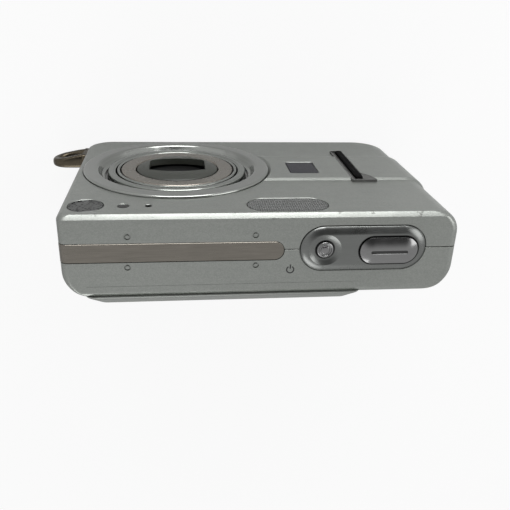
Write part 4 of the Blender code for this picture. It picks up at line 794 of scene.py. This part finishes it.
# --- Front details ---
def front_details():
    rim = SPEAKER_R
    profile = [(0, FRONT_INNER - 0.2), (rim, FRONT_INNER - 0.2)] + above(FRONT, [
        (rim, 0.12), (rim - 0.1, 0.02), (rim - 0.32, 0.02), (rim - 0.42, 0.16), (2.6, 0.12), (1.2, 0.08),
        (0, 0.07)])
    grille = turned("speaker_disc", "Y", SPEAKER, profile, 96)
    done(grille, MESH, "camera_body", ["speaker_grille"], 30)
    profile = [(0, FRONT_INNER - 0.2), (LAMP_R, FRONT_INNER - 0.2)] + above(FRONT, [
        (LAMP_R, 0.2), (LAMP_R - 0.1, 0.1), (0.6, 0.03), (0, 0.01)])
    lamp = turned("lamp_lens", "Y", LAMP, softened(profile, 0.05), 48)
    done(lamp, LAMP_TINT, "camera_body", ["lamp_window"])
    # A black tube lining the microphone hole's wall: painted shade in the hole.
    hole = turned("mic_hole_shade", "Y", MIC, [(MIC_R - 0.16, FRONT + 0.12), (MIC_R - 0.01, FRONT + 0.12),
                                         (MIC_R - 0.01, FRONT_INNER), (MIC_R - 0.16, FRONT_INNER)], 40)
    done(hole, BLACK, "camera_body")
    face = FRONT - BAND_RAISE + 0.06
    pane = layered("sensor_pane", "Y", lambda g: about(SENSOR, SENSOR_SIZE, 0.55, g), [
        (0, FRONT_INNER - 0.2), (0, face + 0.14), (-0.06, face + 0.04), (-0.2, face)])
    done(pane, SENSOR_TINT, "camera_body", ["front_window"])
    face = FRONT - 0.01
    plate = layered("flash_lens_plate", "Y", lambda g: obround(FLASH, FLASH_SIZE, g, 24), [
        (0, FRONT_INNER + 0.2), (0, face + 0.22), (-0.08, face + 0.08), (-0.24, face + 0.01), (-0.6, face)])
    done(plate, FLASH_LENS, "camera_body", ["flash_window"])


def grip_outline(grow=0.0, reach=1.0):
    """The recess round the bar. As reach goes to 1 it widens to the lens side and at its upper end."""
    (x0, x1), (z0, z1) = GRIP_X, GRIP_Z
    side, end = x1 + 0.15 + 1.35 * reach + grow, z1 + 0.15 + 2.25 * reach + grow
    scoop = [(2.65, 1.0), (2.2, -0.1), (1.6, -1.3), (0.8, -2.3), (0.25, -2.8)]
    left = x0 - 0.06 - grow
    curve = [(left - x * reach, z1 + 0.1 + z * reach + grow) for x, z in scoop]
    foot = z0 - 0.05 - grow
    return [(side, foot), (side, end), (left - 2.9 * reach, end)] + curve + [(left, z1 - 3.4), (left, foot)]


def grip():
    crest = FRONT - BAND_RAISE - 0.16

    def level(grow):
        return rounded(GRIP_X[0] - grow, GRIP_X[1] + grow, GRIP_Z[0] - grow, GRIP_Z[1] + grow, 0.5, steps=5)
    bar = layered("grip_bar", "Y", level, [(0, GRIP_FLOOR - 0.3), (0, crest + 0.36), (-0.1, crest + 0.16),
                                           (-0.24, crest + 0.04), (-0.42, crest)])
    done(bar, RUBBER, "camera_body", ["grip_insert"])
    low, high = GRIP_FLOOR - 0.2, FRONT - BAND_RAISE + 0.03
    lining = prism("grip_lining", "Y", grip_outline(), low, high)
    narrow, wide = grip_outline(0.0, 0.0), grip_outline(-0.12)
    cut(lining, tapered("cut_lining", "Y", [(narrow, low + 1), (narrow, low - 0.15), (wide, high + 0.02),
                                            (wide, high - 1)]))
    done(lining, GRIP_METAL, "camera_body", ["grip_trim"])


# --- Top ---
def top():
    control_panel()
    power_button()
    shutter_button()
    strip = trim_shape("trim_strip", 0.0, 0.05, 0.5, 0.07)
    done(strip, STAINLESS, "camera_body", ["trim_band"], 40)
    power_mark()


def control_panel():
    """The raised oval panel, with black sleeves in the shafts of its buttons as painted shade in the gaps
    round the buttons.
    """
    crest = BODY_H + PANEL_RAISE
    panel = layered("control_panel", "Z", lambda g: obround(PANEL, PANEL_SIZE, g, 32), above(BODY_H, [
        (0, -0.2), (0, 0.08), (-0.07, 0.2), (-0.5, 0.5), (-1.1, 0.78), (-1.5, 0.91), (-1.78, PANEL_RAISE)]))
    profile = [(0, BODY_H + 0.45), (POWER_R + 0.4, BODY_H + 0.45), (POWER_R + 0.9, BODY_H + 0.6),
               (POWER_R + 1.7, crest - 0.02), (POWER_R + 2.2, crest + 0.3), (0, crest + 0.3)]
    dish = turned("cut_dish", "Z", POWER, profile, 96)
    power = disc("cut_panel_power", "Z", POWER, POWER_R + 0.32, BODY_H - 2, BODY_H + 3)

    def shaft(grow):
        return obround(SHUTTER, SHUTTER_SIZE, grow, 24)
    shutter = opening("cut_panel_shutter", "Z", lambda g: shaft(SHUTTER_GAP + g), crest, BODY_H - 2, 0.06)
    cut(panel, dish, power, shutter)
    # Black linings in the button shafts: painted shade in the gaps round the buttons.
    shutter_shade_sleeve = cut(prism("shutter_gap_shade", "Z", shaft(SHUTTER_GAP - 0.005), BODY_H - 0.9, crest - 0.1),
                 prism("cut_sleeve", "Z", shaft(0.2), BODY_H - 2, BODY_H + 3))
    power_shade_sleeve = turned("power_gap_shade", "Z", POWER, above(BODY_H, [
        (POWER_R + 0.14, -0.9), (POWER_R + 0.315, -0.9), (POWER_R + 0.315, 0.4), (POWER_R + 0.14, 0.4)]))
    done(join(shutter_shade_sleeve, power_shade_sleeve), BLACK, "camera_body")
    done(panel, PANEL_METAL, "camera_body", ["top_panel"], 40)


def power_button():
    crest = BODY_H + PANEL_RAISE + 0.05
    flange = POWER_R + 0.6
    profile = [(0, BUTTON_BACK), (flange, BUTTON_BACK), (flange, BUTTON_STOP), (POWER_R, BUTTON_STOP)]
    profile += above(crest, [(POWER_R, -0.4), (POWER_R - 0.12, -0.14), (POWER_R - 0.3, 0),
                             (POWER_R - 0.5, -0.04), (POWER_R - 0.62, -0.3), (1.02, -0.34), (0.92, -0.16),
                             (0.6, -0.08), (0, -0.05)])
    button = turned("power_cap", "Z", POWER, softened(profile, 0.07), 96)
    done(button, DARK_CHROME, "power_key", ["power_button"], 40)


def shutter_button():
    """An oblong key with a domed top and a groove, with a black bar in the groove as painted shade."""
    crest = BODY_H + PANEL_RAISE + 0.9
    half = SHUTTER_SIZE[1] / 2
    dome = [((half - 0.2) * u - (half - 0.16), crest - 0.62 * u * u)
            for u in (1, 0.9, 0.78, 0.64, 0.48, 0.3, 0.12, 0)]
    foot = [(0.8, BUTTON_BACK), (0.8, BUTTON_STOP), (0, BUTTON_STOP + 0.001), (0, crest - 0.7)]
    key = layered("shutter_cap", "Z", lambda g: obround(SHUTTER, SHUTTER_SIZE, g, 24), foot + dome)
    bar = (SHUTTER[0], SHUTTER[1] + 0.2)
    cut(key, opening("cut_bar", "Z", lambda g: obround(bar, (8.4, 0.7), g), crest, crest - 0.4, 0.04))
    # A black bar in the groove: painted shade in the groove.
    groove_shade = prism("shutter_groove_shade", "Z", obround(bar, (8.3, 0.6)), crest - 0.45, crest - 0.14)
    done(groove_shade, BLACK, "shutter_key")
    done(key, DARK_CHROME, "shutter_key", ["shutter_button"], 40)


def power_mark():
    """The power symbol printed beside the panel."""
    x, y = POWER_MARK
    low, high = BODY_H - 0.05, BODY_H + 0.012
    outer = arc(POWER_MARK, POWER_MARK_R, -60, 240, 40)
    inner = arc(POWER_MARK, POWER_MARK_R - 0.3, 240, -60, 40)
    symbol = prism("power_mark", "Z", outer + inner, low, high)
    join(symbol, box("mark_stroke", (x - 0.15, x + 0.15), (y - 1.25, y - 0.2), (low, high)))
    done(symbol, MARKING, "camera_body")


# --- Rear ---
def key_cap(name, centre, profile, size, steps, body, node):
    cap = turned(name, "Y", centre, softened(profile, size), steps)
    done(cap, KEY_METAL, body, [node], 40)


def rear():
    top = REAR + SCREEN_RAISE
    pane = layered("screen_glass_plate", "Y", screen_outline, above(top, [
        (0, -0.95), (0, -0.25), (-0.08, -0.17), (-0.2, -0.15)]))
    done(pane, SCREEN_TINT, "camera_body", ["screen_window"])
    flange = KEY_BACK + 0.7
    for name, centre in SMALL_KEYS.items():
        body = name.replace("button", "key")
        profile = [(0, KEY_BACK), (2.8, KEY_BACK), (2.8, flange), (SMALL_KEY_R, flange)] + above(KEY_FACE, [
            (SMALL_KEY_R, -0.35), (SMALL_KEY_R - 0.25, -0.06), (1.4, 0.05), (0, 0.1)])
        key_cap(name + "_cap", centre, profile, 0.08, 64, body, name)
        done(key_icon(name, centre, KEY_FACE + 0.1), MARKING, body)
    zoom_rocker()
    profile = [(3.4, KEY_BACK), (PAD_R, KEY_BACK)] + above(KEY_FACE, [
        (PAD_R, -0.35), (PAD_R - 0.3, -0.08), (7.0, 0), (5.6, -0.12), (4.6, -0.3), (3.4, -0.1)])
    key_cap("pad_ring", PAD, profile, 0.1, 128, "pad", "four_way_pad")
    done(join(*[pad_arrow(i) for i in range(4)]), MARKING, "pad")
    back = KEY_BACK - 0.2
    profile = [(0, back), (SET_KEY_R, back)] + above(KEY_FACE, [
        (SET_KEY_R, -0.25), (SET_KEY_R - 0.2, 0.02), (2.2, 0.12), (0, 0.2)])
    key_cap("set_cap", PAD, profile, 0.1, 80, "set_key", "set_button")


def zoom_rocker():
    x, z = ROCKER
    levels = [(0, KEY_BACK)] + above(KEY_FACE, [
        (0, -0.3), (-0.15, -0.08), (-0.5, 0.1), (-1.1, 0.19), (-1.8, 0.2)])
    rocker = layered("rocker_cap", "Y", lambda g: obround(ROCKER, ROCKER_SIZE, g, 20), levels)
    cut(rocker, *[box(f"cut_rib_{i}", (x - 0.9 + 0.6 * i, x - 0.65 + 0.6 * i),
                      (KEY_FACE + 0.02, KEY_FACE + 1), (z - 1.5, z + 1.5)) for i in range(4)])
    done(rocker, KEY_METAL, "zoom_key", ["zoom_rocker"], 40)

    def mark(name, centre_x, half_x, half_z, high=0.199):
        return box(name, (centre_x - half_x, centre_x + half_x), (KEY_FACE + 0.12, KEY_FACE + high),
                   (z - half_z, z + half_z))
    marks = (mark("zoom_marks", x + 3.8, 0.8, 0.15), mark("mark_minus", x - 3.8, 0.8, 0.15),
             mark("mark_plus", x + 3.8, 0.15, 0.8, 0.198))
    done(join(*marks), MARKING, "zoom_key")


def pad_arrow(i):
    """One of the four triangles on the pad, which points outwards."""
    a = math.radians(90 * i)
    out, side = Vector((math.cos(a), math.sin(a))), Vector((-math.sin(a), math.cos(a)))
    point = Vector(PAD) + out * 6.4
    back = point - out * 0.3
    corners = [tuple(corner) for corner in (point + out * 0.6, back + side * 0.6, back - side * 0.6)]
    return prism(f"pad_arrow_{i}", "Y", corners, KEY_FACE - 0.2, KEY_FACE - 0.005)


def key_icon(name, centre, face):
    """A plain sign on a key: a dot, a triangle, bars or a frame."""
    x, z = centre
    depth = (face - 0.16, face - 0.01)
    if name == "record_button":
        return disc("record_sign", "Y", centre, 0.6, depth[0], face, 32)
    if name == "play_button":
        return prism("play_sign", "Y", [(x + 0.6, z + 0.7), (x + 0.6, z - 0.7), (x - 0.6, z)], *depth)
    if name == "menu_button":
        return join(*[box(f"menu_sign_{i}", (x - 0.7, x + 0.7), depth,
                          (z - 0.5 + 0.45 * i, z - 0.35 + 0.45 * i)) for i in range(3)])
    outer = box("display_sign", (x - 0.8, x + 0.8), depth, (z - 0.55, z + 0.55))
    return cut(outer, box("cut_sign", (x - 0.62, x + 0.62), (depth[0] - 1, face + 1), (z - 0.37, z + 0.37)))


# --- Base and sides ---
def base():
    battery_door()
    tripod_bush()
    dock_connector()
    side_screw("case_screw_lens_side", 1)
    side_screw("case_screw_grip_side", -1)


def battery_door():
    (x0, x1), (y0, y1) = DOOR_X, DOOR_Y
    middle = (x0 + x1) / 2
    centre, size = (middle, (y0 + y1) / 2), (x1 - x0, y1 - y0)
    door = layered("door_plate", "Z", lambda g: about(centre, size, 0.35, g, 4),
                   [(-0.12, 0.0), (0, 0.12), (0, WALL)])
    for i, (a, b) in enumerate(((x0, KNUCKLE_X[0] - 0.15), (KNUCKLE_X[1] + 0.15, x1))):
        bridge = box(f"door_bridge_{i}", (a, b), (y1 - 0.5, HINGE[0]), (0.02, WALL))
        add(door, bridge, disc(f"door_knuckle_{i}", "X", HINGE, 1.0, a, b, 40))
    cut(door, disc("cut_door_pin", "X", HINGE, 0.6, x0 - 1, x1 + 1, 32))
    half, depth = LATCH_SIZE[0] / 2, LATCH_SIZE[1]
    recess = box("cut_latch", (middle - half - 0.15, middle + half + 0.15),
                 (y0 + 0.85, y0 + 1.0 + depth + LATCH_TRAVEL + 0.15), (-1, 0.62))
    arrow = prism("cut_arrow", "Z", [(x0 + 4, -2.6), (x0 + 5.6, -2.6), (x0 + 4.8, -3.8)], -1, 0.08)
    cut(door, recess, arrow)
    done(door, PAINT, "door", ["battery_door"])
    seat = (middle, y0 + 1.0 + depth / 2)
    latch = layered("latch_slider", "Z", lambda g: about(seat, LATCH_SIZE, 0.4, g, 4),
                    [(-0.12, 0.03), (0, 0.14), (0, 0.45)])
    cut(latch, *[box(f"cut_ridge_{i}", (middle - 2.4 + i * 0.8, middle - 2.0 + i * 0.8), (y0 + 1.5, y0 + 3.0),
                     (-1, 0.2)) for i in range(7)])
    done(latch, GREY, "latch", ["battery_latch"])


def tripod_bush():
    """A threaded bush, with each turn of the thread as a groove."""
    low, high, bore = 0.05, 5.5, 3.0
    profile = [(bore + 0.2, low), (4.05, low), (4.2, low + 0.15), (4.2, high), (0, high), (0, high - 0.6),
               (bore, high - 0.6)]
    for turn in reversed(range(7)):
        w = low + 0.45 + turn * 0.6
        profile += [(bore, w + 0.5), (bore - 0.28, w + 0.3), (bore, w + 0.1)]
    bush = turned("tripod_socket", "Z", BUSH, profile + [(bore, low + 0.2)], 96)
    done(bush, NICKEL, "camera_body", ["tripod_bush"], 35)


def dock_connector():
    low = 0.15
    slot = ((DOCK_X[0] + DOCK_X[1]) / 2, (DOCK_Y[0] + DOCK_Y[1]) / 2)
    dock = box("dock_shell", DOCK_X, DOCK_Y, (low, 4.3))
    cut(dock, opening("cut_dock_slot", "Z", lambda g: about(slot, (12.0, 2.4), 0.4, g, 4), low, 3.5, 0.2))
    done(dock, BLACK, "camera_body", ["dock_connector"])
    first = DOCK_X[0] + 2.2
    pins = [box(f"dock_pin_{i}", (first + i * 1.05, first + 0.35 + i * 1.05), (2.9, 3.5), (1.2, 3.6))
            for i in range(10)]
    done(join(*pins), NICKEL, "camera_body")


def side_screw(node, side):
    """A cross-headed case screw, on the lens side for 1 and on the grip side for -1."""
    edge, out = side * RIGHT, side * (RIGHT - 0.1)
    steps = ((0, 2.6), (0.7, 2.6), (0.7, 0.6), (1.4, 0.6), (1.4, 0.22), (1.25, 0.1), (0, 0.1))
    profile = [(radius, edge - side * deep) for radius, deep in steps]
    screw = turned(node.replace("case", "side"), "X", SCREW, profile, 48)
    across = sorted((out - side * 0.4, out + side * 0.2))
    y, z = SCREW
    cut(screw, *[box(f"cut_cross_{i}", across, (y - a, y + a), (z - b, z + b))
                 for i, (a, b) in enumerate(((0.16, 0.85), (0.85, 0.16)))])
    done(screw, NICKEL, "camera_body", [node])


def smooth_path(points, steps=8):
    """A Catmull-Rom curve through the points."""
    path = []
    for i in range(len(points) - 1):
        p0, p1, p2, p3 = points[max(i - 1, 0)], points[i], points[i + 1], points[min(i + 2, len(points) - 1)]
        for k in range(steps):
            t = k / steps
            path.append(0.5 * (2 * p1 + (p2 - p0) * t + (2 * p0 - 5 * p1 + 4 * p2 - p3) * t * t
                               + (3 * p1 - p0 - 3 * p2 + p3) * t ** 3))
    return path + [points[-1]]


def strap_loop():
    """A bent steel loop on the lens side. Its bar has a rounded square section that narrows to the tip."""
    z0, z1 = LOOP_Z
    root, tip = RIGHT + 0.3, LOOP_TIP
    middle = (z0 + z1) / 2
    path = smooth_path([Vector(point) for point in (
        (root + 0.4, z1 - 1.3), (root + 3.0, z1 - 1.25), (tip - 3.4, z1 - 1.5), (tip - 1.7, z1 - 2.6),
        (tip - 1.2, middle), (tip - 1.7, z0 + 2.5), (tip - 3.4, z0 + 1.35), (root + 3.0, z0 + 1.3),
        (root + 0.4, z0 + 1.9))])
    rings = []
    for i, p in enumerate(path):
        along = (path[min(i + 1, len(path) - 1)] - path[max(i - 1, 0)]).normalized()
        normal = Vector((-along.y, along.x))
        taper = min(max((p.x - root - 0.7) / (tip - root), 0.0), 1.0)
        y0, y1 = LOOP_Y[0] + 2.1 * taper, LOOP_Y[1] - 0.05
        ring = []
        for k in range(28):
            a = 2 * math.pi * k / 28
            c, s = math.cos(a), math.sin(a)
            bulge = (abs(c) ** 3 + abs(s) ** 3) ** (-1 / 3)
            point = p + normal * (LOOP_HALF_W * c * bulge)
            ring.append((point.x, (y0 + y1) / 2 + (y1 - y0) / 2 * s * bulge, point.y))
        rings.append(ring)
    loop = loft("loop_bar", rings)
    centre = (sum(LOOP_Y) / 2, middle + 0.1)
    sizes = ((-0.28, (3.2, 7.6)), (0.1, (3.8, 7.9)), (0.8, (3.8, 7.9)), (1.05, (3.3, 7.5)))
    foot = tapered("loop_foot", "X", [(about(centre, size, 0.5, 0, 5), root + x) for x, size in sizes])
    plug = box("loop_plug", (RIGHT - WALL, root + 0.3), (-8.0, -5.2), (5.3, 8.8))
    join(loop, foot, plug)
    done(loop, LOOP_METAL, "camera_body", ["strap_loop"], 40)


def inner_parts():
    """Finishes for the CAD pieces that keep their own shapes."""
    groups = {BOARD: ("main_board", "key_board", "switch_board", "sensor_board"),
              NICKEL: ("chassis_plate", "card_slot", "zoom_motor", "flash_reflector", "door_hinge_pin"),
              BLACK: ("lens_base", "battery_box", "memory_card", "speaker", "flash_capacitor", "barrier_plate",
                      "front_lens_cell", "rear_lens_cell", "screen_panel", "microphone"),
              GREY: ("lens_cam_ring", "pad_pivot"), LABEL: ("battery",), SENSOR_TINT: ("image_sensor",),
              GLASS: ("front_lens", "rear_lens", "flash_tube")}
    for material, names in groups.items():
        for name in names:
            nodes[name].data.materials.clear()
            nodes[name].data.materials.append(material)


# --- Studio ---
def camera():
    data = bpy.data.cameras.new("camera")
    data.sensor_width = 36.0
    data.lens = 44.07
    data.clip_start = 0.01
    obj = bpy.data.objects.new("camera", data)
    right = Vector((-0.99326, -0.03170, 0.11145))
    up = Vector((-0.01838, -0.90659, -0.42162))
    ahead = Vector((-0.11440, 0.42083, -0.89990))
    turn = Matrix((right, up, -ahead)).transposed().to_4x4()
    obj.matrix_world = Matrix.Translation((0.017815, -0.057942, 0.183662)) @ turn
    bpy.context.scene.collection.objects.link(obj)
    bpy.context.scene.camera = obj


def area_light(name, location, target, size, power):
    data = bpy.data.lights.new(name, "AREA")
    data.shape = "RECTANGLE"
    data.size, data.size_y = size
    data.energy = power
    obj = bpy.data.objects.new(name, data)
    obj.location = location
    obj.rotation_euler = (Vector(target) - Vector(location)).to_track_quat("-Z", "Y").to_euler()
    bpy.context.scene.collection.objects.link(obj)


def world_light():
    """White to the eye. To reflections it is a soft grey that darkens towards the photo's viewpoint."""
    world = bpy.data.worlds.new("studio")
    bpy.context.scene.world = world
    world.use_nodes = True
    t = Nodes(world.node_tree)
    direction = t.add("ShaderNodeTexCoord").outputs["Generated"]
    toward = t.add("ShaderNodeVectorMath", {0: direction, 1: (-0.11, -0.42, 0.90)}, operation="DOT_PRODUCT")
    level = t.between(toward.outputs["Value"], 0.74, 0.95, 0.84, 0.08, interpolation_type="SMOOTHSTEP")
    background = t.tree.nodes["Background"]
    t.feed(background.inputs["Color"], (1.0, 1.0, 1.0, 1.0))
    t.feed(background.inputs["Strength"], t.maths("MAXIMUM", t.seen(), level))


def floor():
    """A plain pale floor that the camera sees as nearly white, with the shadow on it."""
    half, top, base = 900, -0.1, -5
    square = [(-half, -half), (half, -half), (half, half), (-half, half)]
    slab = prism("floor", "Z", square, top, base)
    t = Tree("floor_white")
    t.set(Base_Color=t.mix(t.noise(9.0), (0.55, 0.55, 0.55), (0.59, 0.59, 0.59)), Roughness=0.9)
    light = t.add("ShaderNodeEmission", {"Color": (1, 1, 1, 1), "Strength": 1.0})
    mixed = t.add("ShaderNodeMixShader", {0: t.maths("MULTIPLY", t.seen(), 0.88), 1: t.shader.outputs["BSDF"],
                                          2: light.outputs["Emission"]})
    output = next(n for n in t.tree.nodes if n.type == "OUTPUT_MATERIAL")
    t.feed(output.inputs["Surface"], mixed.outputs["Shader"])
    slab.data.materials.append(t.material)


def studio():
    bpy.context.scene.view_settings.view_transform = "Standard"
    world_light()
    target = (0.0, 0.0, 0.03)
    area_light("overhead", (-0.02, -0.42, 0.17), target, (0.36, 0.22), 1.75)
    area_light("fill", (-0.40, -0.10, 0.30), target, (0.30, 0.30), 0.8)
    area_light("behind", (0.12, 0.45, 0.26), target, (0.40, 0.25), 0.9)
    floor()


camera()
studio()
front_cover()
rear_cover()
lens()
front_details()
grip()
top()
rear()
base()
strap_loop()
inner_parts()
